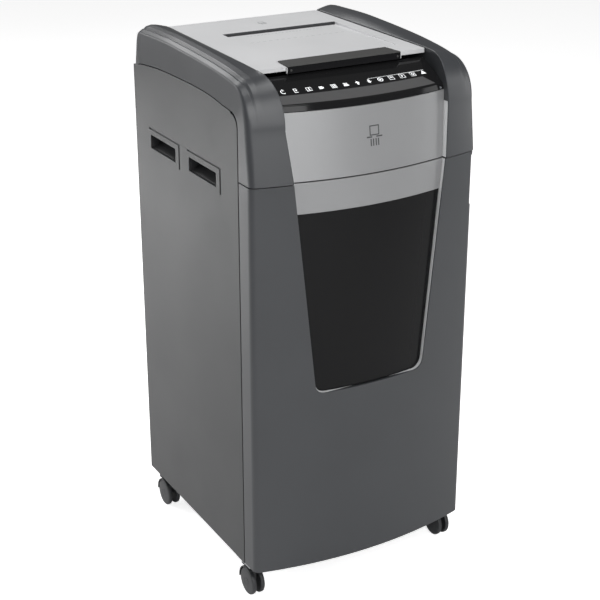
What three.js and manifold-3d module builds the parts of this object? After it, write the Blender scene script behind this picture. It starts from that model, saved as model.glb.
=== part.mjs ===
// An office paper shredder on four casters: a tall cabinet with a hinged front door, and a head
// with a lifting feed lid, feed rollers, two meshed cutters and their drive.
// Millimetres, +Z up. The origin is on the floor, under the middle of the machine's box.
// The front, with the door and the control panel, faces -Y, and +X is to its right.
import * as THREE from "three";
import { mergeVertices } from "three/addons/utils/BufferGeometryUtils.js";
import Module from "manifold-3d";

const wasm = await Module();
wasm.setup();

// ---------- Driving dimensions ----------
const WIDTH = 430;
const DEPTH = 470;
const BASE_Z = 64; // underside of the cabinet
const GAP = 0.4; // clearance between pieces that touch
const HALF_W = WIDTH / 2;
const BACK_Y = DEPTH / 2;
const FRONT_Y = -DEPTH / 2; // the crown of the bowed front
const SEAM_Y = -165; // front edge of the side panels
const SEAM_GAP = 2;
const PANEL_T = 4; // wall of the casings

const BOW_R = 776; // plan radius of the bowed front
const CORNER_X = 203; // where the bow meets the rounded front corner
const CORNER_R = 12;

const SIDE_TOP_BACK = 878; // height of the side panel's top edge at the back
const SIDE_TOP_CREST = 891;
const SIDE_TOP_FRONT = 877;
const SIDE_CORNER_R = 22;

const DOOR_BOTTOM = 66;
const DOOR_TOP = 768.5;
const HEAD_BOTTOM = 770.5;
const HEAD_TOP = 952;
const RIDGE_FRONT_Z = 937; // height of the cheeks' ridge above the front of the lid
const HEAD_LEAN = 15; // how far the head's front leans back from its foot to its shoulder
const HEAD_SHOULDER_Z = 905;

const FASCIA_TOP = 880;
const TRIM_BOTTOM = 716; // lower edge of the silver trim on the door
const WINDOW_BOTTOM = 397;
const WINDOW_CORNER_R = 20;
const TAPER_X = 107.5; // half width of the window at TAPER_Z, from where the front insert widens upwards
const TAPER_Z = 417;
const TAPER = 0.103;

const LID_FRONT_Y = -130;
const LID_BACK_Y = 221;
const LID_FRONT_HALF = 159.5;
const LID_BACK_HALF = 152;
const LID_FRONT_Z = 935;
const LID_BACK_Z = 940;
const LID_T = 7;
const LID_PIVOT = { y: 217, z: 936.3 };
const LID_PIN_R = 2.3;
const WELL_GAP = 1.8; // space between the lid and the cheeks
const SLOT_LEFT = -95; // the manual feed slot stands a little right of the middle
const SLOT_RIGHT = 131;
const SLOT_Y = 118;
const SLOT_W = 6;

const POCKET_H = 24.5;
const POCKET_Z = 751;
const POCKET_L = 102;
const POCKET_YS = [-35.5, 120]; // middles of the two grips on each side

const HINGE_X = -207;
const HINGE_Y = -173;

const WHEEL_R = 25;
const WHEEL_SIDES = 20;
const WHEEL_W = 9;
const WHEEL_GAP = 8; // space between the twin wheels
const CASTER_X = 198.5;
const CASTER_FRONT_Y = -146;
const CASTER_REAR_Y = 206;
const TRAIL = 18;

const SHAFT_GAP = 46; // distance between the two cutter shafts
const CUTTER_Z = 800;
const CUTTER_Y = 118; // middle between the cutters, under the manual slot
const GEAR_TEETH = 16;
const PINION_TEETH = 8;
const TOOTH_A = 2.1; // height of a tooth above the pitch circle
const FEED_Y = 60;
const FEED_Z = 872;
const FEED_R = 14;
const ROLLER_X = 50;
const PULLEY_R = 12;
const LED_X = 146;
const LED_Z = 884;
const LED_R = 1.6;

// ---------- Finishes ----------
const finish = (color, roughness, metalness) =>
  new THREE.MeshStandardMaterial({ color, roughness, metalness });
const GREY_SHELL = finish(0x5d6063, 0.5, 0.1);
const DARK_SHELL = finish(0x505256, 0.5, 0.1);
const SILVER = finish(0xc4c6c7, 0.4, 0.5);
const GLOSS_BLACK = finish(0x151516, 0.12, 0.0);
const WINDOW_BLACK = finish(0x232323, 0.2, 0.0);
const INNER_GREY = finish(0x3a3b3d, 0.6, 0.0);
const STEEL = finish(0x9a9c9e, 0.35, 0.9);
const RUBBER = finish(0x2a2a2b, 0.85, 0.0);
const CASTER_GREY = finish(0x3f4142, 0.5, 0.0);
const BOARD_GREEN = finish(0x1f5a38, 0.5, 0.0);
const LED_WHITE = finish(0xe8ecef, 0.3, 0.0);

// ---------- Solid helpers ----------
// A three.js geometry as a manifold solid, for joining and cutting.
function solid(geometry) {
  const g = geometry.clone();
  g.deleteAttribute("normal");
  g.deleteAttribute("uv");
  const merged = mergeVertices(g, 1e-4);
  const vertProperties = merged.attributes.position.array;
  const triVerts = new Uint32Array(merged.index.array);
  return new wasm.Manifold(new wasm.Mesh({ numProp: 3, vertProperties, triVerts }));
}

// A manifold solid back as a three.js geometry.
function geometryOf(made) {
  const mesh = made.getMesh();
  const g = new THREE.BufferGeometry();
  g.setAttribute("position", new THREE.BufferAttribute(new Float32Array(mesh.vertProperties), 3));
  g.setIndex(new THREE.BufferAttribute(new Uint32Array(mesh.triVerts), 1));
  return g;
}

function box(x0, x1, y0, y1, z0, z1) {
  const g = new THREE.BoxGeometry(x1 - x0, y1 - y0, z1 - z0);
  g.translate((x0 + x1) / 2, (y0 + y1) / 2, (z0 + z1) / 2);
  return solid(g);
}

// A cylinder along an axis, "x", "y" or "z", centred at c.
function rod(axis, r, length, c, segments = 16) {
  const g = new THREE.CylinderGeometry(r, r, length, segments);
  if (axis === "x") g.rotateZ(Math.PI / 2);
  if (axis === "z") g.rotateX(Math.PI / 2);
  g.translate(c[0], c[1], c[2]);
  return solid(g);
}

// An outline in Y and Z, extruded along X from x0 to x1.
function slabX(outline, x0, x1) {
  const shape = new THREE.Shape(outline.map(([y, z]) => new THREE.Vector2(y, z)));
  const g = new THREE.ExtrudeGeometry(shape, { depth: x1 - x0, bevelEnabled: false });
  g.rotateY(Math.PI / 2);
  g.rotateX(Math.PI / 2);
  g.translate(x0, 0, 0);
  return solid(g);
}

// An outline in X and Z, extruded along Y from y0 to y1.
function slabY(outline, y0, y1) {
  const shape = new THREE.Shape(outline.map(([x, z]) => new THREE.Vector2(x, z)));
  const g = new THREE.ExtrudeGeometry(shape, { depth: y1 - y0, bevelEnabled: false });
  g.rotateX(Math.PI / 2);
  g.translate(0, y1, 0);
  return solid(g);
}

// An outline in X and Y, extruded along Z from z0 to z1.
function slabZ(outline, z0, z1) {
  const shape = new THREE.Shape(outline.map(([x, y]) => new THREE.Vector2(x, y)));
  const g = new THREE.ExtrudeGeometry(shape, { depth: z1 - z0, bevelEnabled: false });
  g.translate(0, 0, z0);
  return solid(g);
}

// Skins a stack of rings, each with the same number of points, and closes both ends.
function loft(stack, flat) {
  const turned = THREE.ShapeUtils.isClockWise(stack[0].map(flat));
  const rings = turned ? stack.map((ring) => [...ring].reverse()) : stack;
  const n = rings[0].length;
  const positions = rings.flat(2);
  const index = [];
  for (let k = 0; k + 1 < rings.length; k++) {
    for (let i = 0; i < n; i++) {
      const a = k * n + i;
      const b = k * n + ((i + 1) % n);
      index.push(a, b, b + n, a, b + n, a + n);
    }
  }
  const last = (rings.length - 1) * n;
  const cap = THREE.ShapeUtils.triangulateShape(rings[0].map(flat), []);
  for (const [a, b, c] of cap) {
    index.push(a, c, b, last + a, last + b, last + c);
  }
  const g = new THREE.BufferGeometry();
  g.setAttribute("position", new THREE.Float32BufferAttribute(positions, 3));
  g.setIndex(index);
  const made = solid(g);
  if (made.volume() > 0) return made;
  for (let i = 0; i < index.length; i += 3) [index[i], index[i + 1]] = [index[i + 1], index[i]];
  g.setIndex(index);
  return solid(g);
}
const seenFromTop = ([x, y]) => new THREE.Vector2(x, y);
const seenFromSide = ([, y, z]) => new THREE.Vector2(y, z);

// Points on an arc about (cx, cy), from one angle to another in degrees, both ends included.
function arc(cx, cy, r, from, to, steps) {
  return Array.from({ length: steps + 1 }, (_, i) => {
    const a = THREE.MathUtils.degToRad(from + ((to - from) * i) / steps);
    return [cx + r * Math.cos(a), cy + r * Math.sin(a)];
  });
}

const group = new THREE.Group();
function add(name, made, material) {
  const mesh = new THREE.Mesh(geometryOf(made), material);
  mesh.name = name;
  group.add(mesh);
}

// ---------- Shared outlines ----------
// How far the front stands forward at x, before the rounded corners.
const bowY = (x) => FRONT_Y + (x * x) / (2 * BOW_R);

// Half width of the tapered front insert (window, trim and fascia) at height z.
const insertHalf = (z) => TAPER_X + TAPER * (z - TAPER_Z);

// Plan outline of the front casing, from the right rear corner round the front to the left one.
function frontPlan(inset, rearY) {
  const edge = HALF_W - inset;
  const right = [
    [edge - 2, rearY],
    [edge, rearY - 3],
    [edge - 1.5, SEAM_Y - 17],
  ];
  const turnY = bowY(CORNER_X) + inset + CORNER_R;
  right.push(...arc(CORNER_X - inset - 3, turnY, CORNER_R, 0, -70, 4));
  const bow = [170, 125, 75, 25].map((x) => [x * (1 - inset / HALF_W), bowY(x) + inset]);
  const half = [...right, ...bow];
  return [...half, [0, FRONT_Y + inset], ...half.map(([x, y]) => [-x, y]).reverse()];
}

// Top edge of a side panel in Y and Z, raised by lift, from the back to the front seam.
function panelTop(lift, foot, back = BACK_Y) {
  const crest = [
    [back, SIDE_TOP_BACK + lift],
    [185, 885 + lift],
    [125, 889.5 + lift],
    [55, SIDE_TOP_CREST + lift],
    [-15, SIDE_TOP_CREST + lift],
    [-75, 888 + lift],
    [-115, 882.5 + lift],
  ];
  const r = SIDE_CORNER_R + lift;
  const seam = SEAM_Y - lift;
  const shoulder = SIDE_TOP_FRONT + lift;
  return [...crest, ...arc(seam + r, shoulder - r, r, 90, 180, 5), [seam, foot]];
}

// ---------- Cabinet ----------
function sidePanel(side) {
  const outline = [...panelTop(0, BASE_Z), [BACK_Y, BASE_Z]];
  const inner = side * (HALF_W - PANEL_T);
  const outer = side * HALF_W;
  let made = slabX(outline, Math.min(inner, outer), Math.max(inner, outer));
  for (const y of POCKET_YS) {
    const half = POCKET_L / 2;
    made = made.subtract(
      box(outer - 9, outer + 9, y - half, y + half, POCKET_Z - POCKET_H / 2, POCKET_Z + POCKET_H / 2),
    );
  }
  return made;
}

// A moulded cup behind a grip opening: its floor slopes down and outwards.
function gripCup(side, y) {
  const depth = 28;
  const wall = 3;
  const outer = HALF_W - PANEL_T - GAP;
  const half = POCKET_L / 2;
  const z0 = POCKET_Z - POCKET_H / 2;
  const z1 = POCKET_Z + POCKET_H / 2;
  const shell = box(outer - depth, outer, y - half - wall, y + half + wall, z0 - wall, z1 + wall);
  const hollow = [
    [outer + 1, z0],
    [outer + 1, z1],
    [outer - depth + wall, z1],
    [outer - depth + wall, z0 + 14],
  ];
  const made = shell.subtract(slabY(hollow, y - half, y + half));
  return side > 0 ? made : made.scale([-1, 1, 1]);
}

function rearPanel() {
  const half = HALF_W - PANEL_T - GAP;
  let made = box(-half, half, BACK_Y - PANEL_T, BACK_Y, BASE_Z + 2, SIDE_TOP_BACK - 4);
  made = made.subtract(box(-70, 70, BACK_Y - 9, BACK_Y + 5, 760, 830)); // vent
  made = made.subtract(box(120, 150, BACK_Y - 9, BACK_Y + 5, 110, 132)); // inlet
  return made.subtract(box(165, 187, BACK_Y - 9, BACK_Y + 5, 108, 134)); // switch
}

function rearVent() {
  let made = box(-70 + GAP, 70 - GAP, BACK_Y - PANEL_T, BACK_Y, 760 + GAP, 830 - GAP);
  for (let z = 766; z < 825; z += 10) {
    made = made.subtract(box(-62, 62, BACK_Y - 9, BACK_Y + 5, z, z + 5));
  }
  return made;
}

function basePan() {
  const half = HALF_W - PANEL_T - GAP;
  const made = box(-half, half, SEAM_Y + 3, BACK_Y - PANEL_T - GAP, BASE_Z, BASE_Z + 12);
  return made.subtract(box(-half + 3, half - 3, SEAM_Y + 6, BACK_Y - 9, BASE_Z + 4, BASE_Z + 20));
}

function headFloor() {
  const made = box(-208, 208, SEAM_Y + 3, 228, 715, 719);
  const throat = box(-150, 150, CUTTER_Y - 45, CUTTER_Y + 45, 700, 730);
  return made.subtract(throat);
}

function bin() {
  const outer = box(-182, 182, -152, 196, 77, 655);
  const inner = box(-179, 179, -149, 193, 80, 700);
  const finger = box(-50, 50, -160, -140, 600, 632);
  return outer.subtract(inner).subtract(finger);
}

// ---------- Head ----------
// Plan ring of the head at height z: it leans back in front and inwards at its sides.
function headRing(z) {
  const up = (z - HEAD_BOTTOM) / (HEAD_SHOULDER_Z - HEAD_BOTTOM);
  const lean = HEAD_LEAN * up;
  const above = Math.max(0, z - SIDE_TOP_BACK);
  const squeeze = 0.25 * above + 0.0022 * above * above;
  const flare = 2 * (1 - Math.min(1, up));
  const plan = frontPlan(0, SEAM_Y - SEAM_GAP).map(([x, y]) => {
    const share = Math.min(1, (SEAM_Y - y) / 45);
    return [x * (1 - squeeze / HALF_W), y + share * (lean - flare)];
  });
  const rear = HALF_W - squeeze;
  const corner = [
    [-rear, SEAM_Y],
    [-rear, BACK_Y - 24],
    [-rear + 7, BACK_Y - 7],
    [-rear + 24, BACK_Y],
  ];
  const back = [...corner, ...corner.map(([x, y]) => [-x, y]).reverse()];
  return [...plan, ...back].map(([x, y]) => [x, y, z]);
}

// Side profile of the whole head: front, rounded brow, ridge, rounded back.
function headProfile() {
  return [
    [BACK_Y + 5, 700],
    [BACK_Y + 5, 915],
    ...arc(BACK_Y - 26, 922, 27, 0, 70, 4),
    [180, HEAD_TOP - 1],
    [120, HEAD_TOP - 1],
    [60, 949.5],
    [0, 946],
    [-60, 942],
    [-125, RIDGE_FRONT_Z],
    [-150, 931],
    [-168, 921],
    [-182, 906],
    [-192, 886],
    [FRONT_Y - 20, 850],
    [FRONT_Y - 20, 700],
  ];
}

function headCover() {
  const heights = [HEAD_BOTTOM, 840, 878, 892, 905, 918, 930, 940, HEAD_TOP];
  let made = loft(heights.map(headRing), seenFromTop);
  made = made.intersect(slabX(headProfile(), -230, 230));
  // The side panels stand below the arc seam, so the head starts above it behind the pillars.
  const panels = [...panelTop(1.5, 700, BACK_Y + 9), [BACK_Y + 9, 700]];
  made = made.subtract(slabX(panels, -240, 240));
  // The well that holds the lid and the feed tray.
  const well = [
    [-LID_FRONT_HALF - WELL_GAP, LID_FRONT_Y - 8],
    [LID_FRONT_HALF + WELL_GAP, LID_FRONT_Y - 8],
    [LID_BACK_HALF + WELL_GAP, LID_BACK_Y + 2.5],
    [-LID_BACK_HALF - WELL_GAP, LID_BACK_Y + 2.5],
  ];
  made = made.subtract(slabZ(well, 800, 970));
  // The space between the pillars for the fascia and the control panel.
  const rings = [HEAD_BOTTOM - 5, HEAD_TOP + 8].map((z) => {
    const half = insertHalf(z) + 2.5 * GAP;
    return [[half, -260, z], [half, -130, z], [-half, -130, z], [-half, -260, z]];
  });
  made = made.subtract(loft(rings, seenFromTop));
  // Hollow cheeks and pillars, open underneath.
  for (const side of [-1, 1]) {
    const x = [side * 168, side * 200].sort((a, b) => a - b);
    const deep = [side * 166, side * 194].sort((a, b) => a - b);
    made = made.subtract(box(x[0], x[1], -150, 215, 860, 918));
    made = made.subtract(box(deep[0], deep[1], -186, -149, 760, 850));
  }
  made = made.subtract(rod("x", LID_PIN_R + 0.3, 326, [0, LID_PIVOT.y, LID_PIVOT.z], 12));
  return made.subtract(rod("z", 3.3, 44, [HINGE_X, HINGE_Y, HEAD_BOTTOM], 12));
}

// A thin insert that follows the bow of the front between two heights.
function bowedInsert(levels, thickness, shrink) {
  const steps = [-1, -0.75, -0.5, -0.25, 0, 0.25, 0.5, 0.75, 1];
  const rings = levels.map(({ z, front, half }) => {
    const w = (half ?? insertHalf(z)) - shrink;
    const at = (s, back) => [s * w, front + (s * s * w * w) / (2 * BOW_R) * 1.35 + back, z];
    return [...steps.map((s) => at(s, 0)), ...[...steps].reverse().map((s) => at(s, thickness))];
  });
  return loft(rings, seenFromTop);
}
const fasciaFront = (z) => FRONT_Y + 4 + (HEAD_LEAN * (z - HEAD_BOTTOM)) / (FASCIA_TOP - HEAD_BOTTOM);

function headFascia() {
  const levels = [HEAD_BOTTOM, FASCIA_TOP].map((z) => ({ z, front: fasciaFront(z) }));
  return bowedInsert(levels, PANEL_T, GAP);
}

// The glossy control panel slopes down from under the lid and folds over its bowed nose.
function controlPanel() {
  const rings = [-1, -0.75, -0.5, -0.25, 0, 0.25, 0.5, 0.75, 1].map((s) => {
    const x = s * (insertHalf(FASCIA_TOP) - GAP);
    const bow = ((x * x) / (2 * BOW_R)) * 1.35;
    const nose = fasciaFront(FASCIA_TOP) + bow;
    return [
      [x, LID_FRONT_Y + 1, 921],
      [x, nose + 13, 892.5],
      [x, nose + 6, 890],
      [x, nose + 1.5, 886.5],
      [x, nose, FASCIA_TOP + GAP],
      [x, nose + 4, FASCIA_TOP + GAP],
      [x, nose + 9, 885.5],
      [x, nose + 14, 888],
      [x, LID_FRONT_Y + 1, 916.5],
    ];
  });
  return loft(rings, seenFromSide).subtract(rod("y", LED_R + GAP, 30, [LED_X, -196, LED_Z], 10));
}

function feedTray() {
  let made = box(-150, 150, -124, 178, 858, 912);
  made = made.subtract(box(-147, 147, -121, CUTTER_Y - 12, 876, 930));
  made = made.subtract(box(-147, 147, CUTTER_Y + 12, 175, 876, 930));
  made = made.subtract(box(-130, 130, CUTTER_Y - 14, CUTTER_Y + 14, 850, 930)); // throat
  for (const x of [-ROLLER_X, ROLLER_X]) {
    made = made.subtract(box(x - 20, x + 20, FEED_Y - 20, FEED_Y + 20, 850, 930));
  }
  return made.subtract(box(-155, 155, FEED_Y - 7, FEED_Y + 7, FEED_Z - 6, 930));
}

function feedLid() {
  const plan = [
    [-LID_FRONT_HALF, LID_FRONT_Y],
    [LID_FRONT_HALF, LID_FRONT_Y],
    [LID_BACK_HALF, LID_BACK_Y],
    [-LID_BACK_HALF, LID_BACK_Y],
  ];
  const side = [
    [LID_FRONT_Y - 1, LID_FRONT_Z - LID_T],
    [LID_BACK_Y + 1, LID_BACK_Z - LID_T],
    [LID_BACK_Y + 1, LID_BACK_Z],
    [LID_FRONT_Y - 1, LID_FRONT_Z],
  ];
  let made = slabZ(plan, 900, 960).intersect(slabX(side, -200, 200));
  // A ramp sinks towards the manual slot, and the slot goes through.
  const ramp = [
    [SLOT_Y + 2, 934.5],
    [SLOT_Y + 2, 945],
    [-85, 945],
    [-85, 934.9],
  ];
  made = made.subtract(slabX(ramp, SLOT_LEFT, SLOT_RIGHT));
  made = made.subtract(box(SLOT_LEFT, SLOT_RIGHT, SLOT_Y - SLOT_W + 2, SLOT_Y + 2, 900, 960));
  made = made.subtract(box(-108, 108, LID_FRONT_Y - 5, -92.5, 933.8, 950));
  for (const side of [-1, 1]) {
    made = made.subtract(rod("x", LID_PIN_R + 0.3, 30, [side * 154, LID_PIVOT.y, LID_PIVOT.z], 12));
  }
  return made;
}

function lidTab() {
  const profile = [
    [LID_FRONT_Y - 4.5, 923.5],
    [LID_FRONT_Y - 0.5, 923.5],
    [LID_FRONT_Y - 0.5, 934.2],
    [-93, 934.2],
    [-93, 936.5],
    [LID_FRONT_Y - 4.5, 936.5],
  ];
  const plan = [
    [-107, LID_FRONT_Y - 5],
    [107, LID_FRONT_Y - 5],
    [102, -92],
    [-102, -92],
  ];
  return slabX(profile, -110, 110).intersect(slabZ(plan, 900, 960));
}

function lidHingePin(side) {
  return rod("x", LID_PIN_R, 20, [side * 151, LID_PIVOT.y, LID_PIVOT.z], 12);
}

function slotGuide() {
  const outer = box(SLOT_LEFT - 3, SLOT_RIGHT + 3, SLOT_Y - 8, SLOT_Y + 6, 914, 930.5);
  return outer.subtract(box(SLOT_LEFT, SLOT_RIGHT, SLOT_Y - SLOT_W + 2, SLOT_Y + 2, 900, 940));
}

// ---------- Door ----------
function windowOutline(shrink) {
  const top = insertHalf(TRIM_BOTTOM) - shrink;
  const r = WINDOW_CORNER_R - shrink;
  const z0 = WINDOW_BOTTOM + shrink;
  const foot = insertHalf(WINDOW_BOTTOM + r) - shrink;
  const corner = arc(foot - r, z0 + r, r, -90, 0, 4);
  return [
    [-top, TRIM_BOTTOM - shrink],
    ...corner.map(([x, z]) => [-x, z]).reverse(),
    ...corner,
    [top, TRIM_BOTTOM - shrink],
  ];
}

function doorPanel() {
  const rear = SEAM_Y - SEAM_GAP;
  let made = slabZ(frontPlan(0, rear), DOOR_BOTTOM, DOOR_TOP);
  made = made.subtract(slabZ(frontPlan(PANEL_T, rear + 40), DOOR_BOTTOM + 4, DOOR_TOP - 4));
  const grip = box(192, 213, -206, rear - 0.5, 662, DOOR_TOP - 1);
  const lug = box(-212, -198, -184, rear - 0.5, DOOR_BOTTOM + 2, DOOR_TOP - 2);
  const shape = slabZ(frontPlan(0, rear), DOOR_BOTTOM, DOOR_TOP);
  made = made.add(grip.intersect(shape)).add(lug.intersect(shape));
  made = made.subtract(slabY(windowOutline(0), -260, -190));
  const trim = [
    [-insertHalf(TRIM_BOTTOM), TRIM_BOTTOM - 0.5],
    [insertHalf(TRIM_BOTTOM), TRIM_BOTTOM - 0.5],
    [insertHalf(DOOR_TOP), DOOR_TOP + 1],
    [-insertHalf(DOOR_TOP), DOOR_TOP + 1],
  ];
  made = made.subtract(slabY(trim, -260, -190));
  made = made.subtract(rod("z", 17, 90, [222, -197, 717], 20)); // finger scoop
  // A rail behind the trim ties the two sides of the door together again.
  const tie = bowedInsert(
    [DOOR_TOP - 50, DOOR_TOP].map((z) => ({ z, front: FRONT_Y + 10, half: 175 })),
    PANEL_T,
    0,
  );
  made = made.add(tie);
  for (const z of [DOOR_BOTTOM, DOOR_TOP]) {
    made = made.subtract(rod("z", 3.3, 44, [HINGE_X, HINGE_Y, z], 12));
  }
  return made;
}

function doorTrim() {
  const levels = [TRIM_BOTTOM, DOOR_TOP].map((z) => ({ z, front: FRONT_Y + 4 }));
  return bowedInsert(levels, PANEL_T, GAP);
}

function doorWindow() {
  const sheet = bowedInsert(
    [WINDOW_BOTTOM - 5, TRIM_BOTTOM + 5].map((z) => ({ z, front: FRONT_Y + 4, half: 150 })),
    PANEL_T,
    0,
  );
  return sheet.intersect(slabY(windowOutline(GAP), -260, -150));
}

function hingePin(z0, z1) {
  return rod("z", 3, z1 - z0, [HINGE_X, HINGE_Y, (z0 + z1) / 2], 12);
}

// A strip under the base carries the door's lower pin.
function hingeBracket() {
  const strip = box(HINGE_X - 6, HINGE_X + 2.8, HINGE_Y - 7, -130, 60.6, BASE_Z - GAP);
  const boss = rod("z", 5.5, 3, [HINGE_X, HINGE_Y, 62.1], 12);
  return strip.add(boss).subtract(rod("z", 3.3, 10, [HINGE_X, HINGE_Y, 62], 12));
}

// ---------- Drive ----------
// A gear as a waved disc: its teeth rise and fall smoothly about the pitch circle.
function gear(teeth, pitchR, x0, x1, y, z, phase) {
  const n = teeth * 4;
  const outline = Array.from({ length: n }, (_, i) => {
    const a = (i / n) * Math.PI * 2;
    const r = pitchR - 0.35 + TOOTH_A * Math.cos(teeth * (a - phase));
    return [y + r * Math.cos(a), z + r * Math.sin(a)];
  });
  return slabX(outline, x0, x1);
}

// A cutter shaft with its discs; the discs of one stand between those of the other.
function cutter(y, shift) {
  const shaft = 8;
  const core = 17.5;
  const tip = 26.5;
  const profile = [[0, -150], [shaft, -150], [shaft, -140], [core, -140]];
  for (let x = -120 + shift; x < 120; x += 36) {
    profile.push([core, x - 8], [tip, x - 8], [tip, x + 8], [core, x + 8]);
  }
  profile.push([core, 140], [shaft, 140], [shaft, 172], [0, 172]);
  const g = new THREE.LatheGeometry(profile.map(([r, h]) => new THREE.Vector2(r, h)), 12);
  g.rotateZ(-Math.PI / 2);
  g.translate(0, y, CUTTER_Z);
  return solid(g);
}

function framePlate(x0, x1) {
  const outline = [[40, 725], [174, 725], [174, 776], [188, 776], [188, 857], [40, 857]];
  let made = slabX(outline, x0, x1);
  for (const s of [-1, 1]) {
    made = made.subtract(rod("x", 8.6, 30, [(x0 + x1) / 2, CUTTER_Y + (s * SHAFT_GAP) / 2, CUTTER_Z]));
  }
  return made;
}

// A comb lies along a cutter and strips the cut paper off it.
function stripperComb(side) {
  const y = CUTTER_Y + side * 56;
  return box(-143.5, 143.5, Math.min(y, y + side * 8), Math.max(y, y + side * 8), 775, 825);
}

// ---------- Casters ----------
function casterHousing(x, y) {
  const axleY = y - TRAIL;
  const web = WHEEL_GAP / 2 - 0.6;
  const stem = rod("z", 5, 7, [x, y, 60], 12);
  const collar = rod("z", 11, 5, [x, y, 54.5], 14);
  const outline = [
    [axleY - 9, 25],
    [axleY - 9, 36],
    [axleY - 2, 50],
    [y - 4, 57],
    [y + 10, 57],
    [y + 10, 48],
    [axleY + 12, 22],
  ];
  const body = slabX(outline, x - web, x + web);
  const hood = slabX([[axleY + 14, 52.5], [y + 11, 52.5], [y + 11, 57], [axleY + 4, 57]], x - 12, x + 12);
  const made = stem.add(collar).add(body).add(hood);
  return made.subtract(rod("x", 2.9, 30, [x, axleY, WHEEL_R], 12));
}

function wheel(x, axleY, side, withAxle) {
  const inner = WHEEL_GAP / 2;
  const tread = WHEEL_R / Math.cos(Math.PI / WHEEL_SIDES); // flats, not corners, touch the floor
  const profile = [
    [0, inner],
    [tread - 3, inner],
    [tread, inner + 2],
    [tread, inner + WHEEL_W - 2],
    [tread - 3, inner + WHEEL_W],
    [9, inner + WHEEL_W - 2],
    [0, inner + WHEEL_W - 1],
  ];
  const points = profile.map(([r, h]) => new THREE.Vector2(r, h));
  const g = new THREE.LatheGeometry(points, WHEEL_SIDES, Math.PI / WHEEL_SIDES);
  g.rotateZ(-Math.PI / 2);
  let made = solid(g);
  if (side < 0) made = made.scale([-1, 1, 1]);
  made = made.translate([x, axleY, WHEEL_R]);
  if (!withAxle) return made;
  return made.add(rod("x", 2.5, 2 * inner + 0.6, [x + side * 0.7, axleY, WHEEL_R], 12));
}

function casters() {
  for (const [corner, side, y] of [
    ["front_left", -1, CASTER_FRONT_Y],
    ["front_right", 1, CASTER_FRONT_Y],
    ["rear_left", -1, CASTER_REAR_Y],
    ["rear_right", 1, CASTER_REAR_Y],
  ]) {
    const x = side * CASTER_X;
    add(`caster_housing_${corner}`, casterHousing(x, y), CASTER_GREY);
    add(`wheel_outer_${corner}`, wheel(x, y - TRAIL, side, true), RUBBER);
    add(`wheel_inner_${corner}`, wheel(x, y - TRAIL, -side, false), RUBBER);
  }
}

// ---------- Assembly ----------
function cabinet() {
  add("base_pan", basePan(), STEEL);
  add("rear_panel", rearPanel(), DARK_SHELL);
  add("rear_vent", rearVent(), INNER_GREY);
  add("head_floor", headFloor(), INNER_GREY);
  add("waste_bin", bin(), INNER_GREY);
  for (const [name, side] of [["left", -1], ["right", 1]]) {
    add(`side_panel_${name}`, sidePanel(side), GREY_SHELL);
    add(`grip_cup_${name}_front`, gripCup(side, POCKET_YS[0]), GREY_SHELL);
    add(`grip_cup_${name}_rear`, gripCup(side, POCKET_YS[1]), GREY_SHELL);
  }
  add("hinge_bracket", hingeBracket(), STEEL);
  add("door_pin_lower", hingePin(60.8, 84), STEEL);
  add("door_pin_upper", hingePin(748, 786), STEEL);
}

function power() {
  const socket = box(120 + GAP, 150 - GAP, BACK_Y - 24, BACK_Y, 110 + GAP, 132 - GAP);
  add("mains_inlet", socket.subtract(box(124, 146, BACK_Y - 18, BACK_Y + 5, 114, 128)), GLOSS_BLACK);
  const frame = box(165 + GAP, 187 - GAP, BACK_Y - 20, BACK_Y, 108 + GAP, 134 - GAP);
  add("switch_frame", frame.subtract(box(168, 184, BACK_Y - 16, BACK_Y + 5, 111, 131)), GLOSS_BLACK);
  const profile = [[220, 113], [BACK_Y - 3, 113], [BACK_Y - 1, 121], [BACK_Y - 3, 129], [220, 129]];
  add("power_rocker", slabX(profile, 169, 183), GLOSS_BLACK);
}

function head() {
  add("head_cover", headCover(), DARK_SHELL);
  add("head_fascia", headFascia(), SILVER);
  add("control_panel", controlPanel(), GLOSS_BLACK);
  add("status_led", rod("y", LED_R, 5, [LED_X, -195.5, LED_Z], 10), LED_WHITE);
  add("control_board", box(-120, 120, -176, -150, 868, 872), BOARD_GREEN);
  add("feed_tray", feedTray(), INNER_GREY);
  add("feed_lid", feedLid(), SILVER);
  add("lid_tab", lidTab(), DARK_SHELL);
  add("slot_guide", slotGuide(), INNER_GREY);
  add("lid_pin_left", lidHingePin(-1), STEEL);
  add("lid_pin_right", lidHingePin(1), STEEL);
}

function door() {
  add("door_panel", doorPanel(), DARK_SHELL);
  add("door_trim", doorTrim(), SILVER);
  add("door_window", doorWindow(), WINDOW_BLACK);
}

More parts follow.
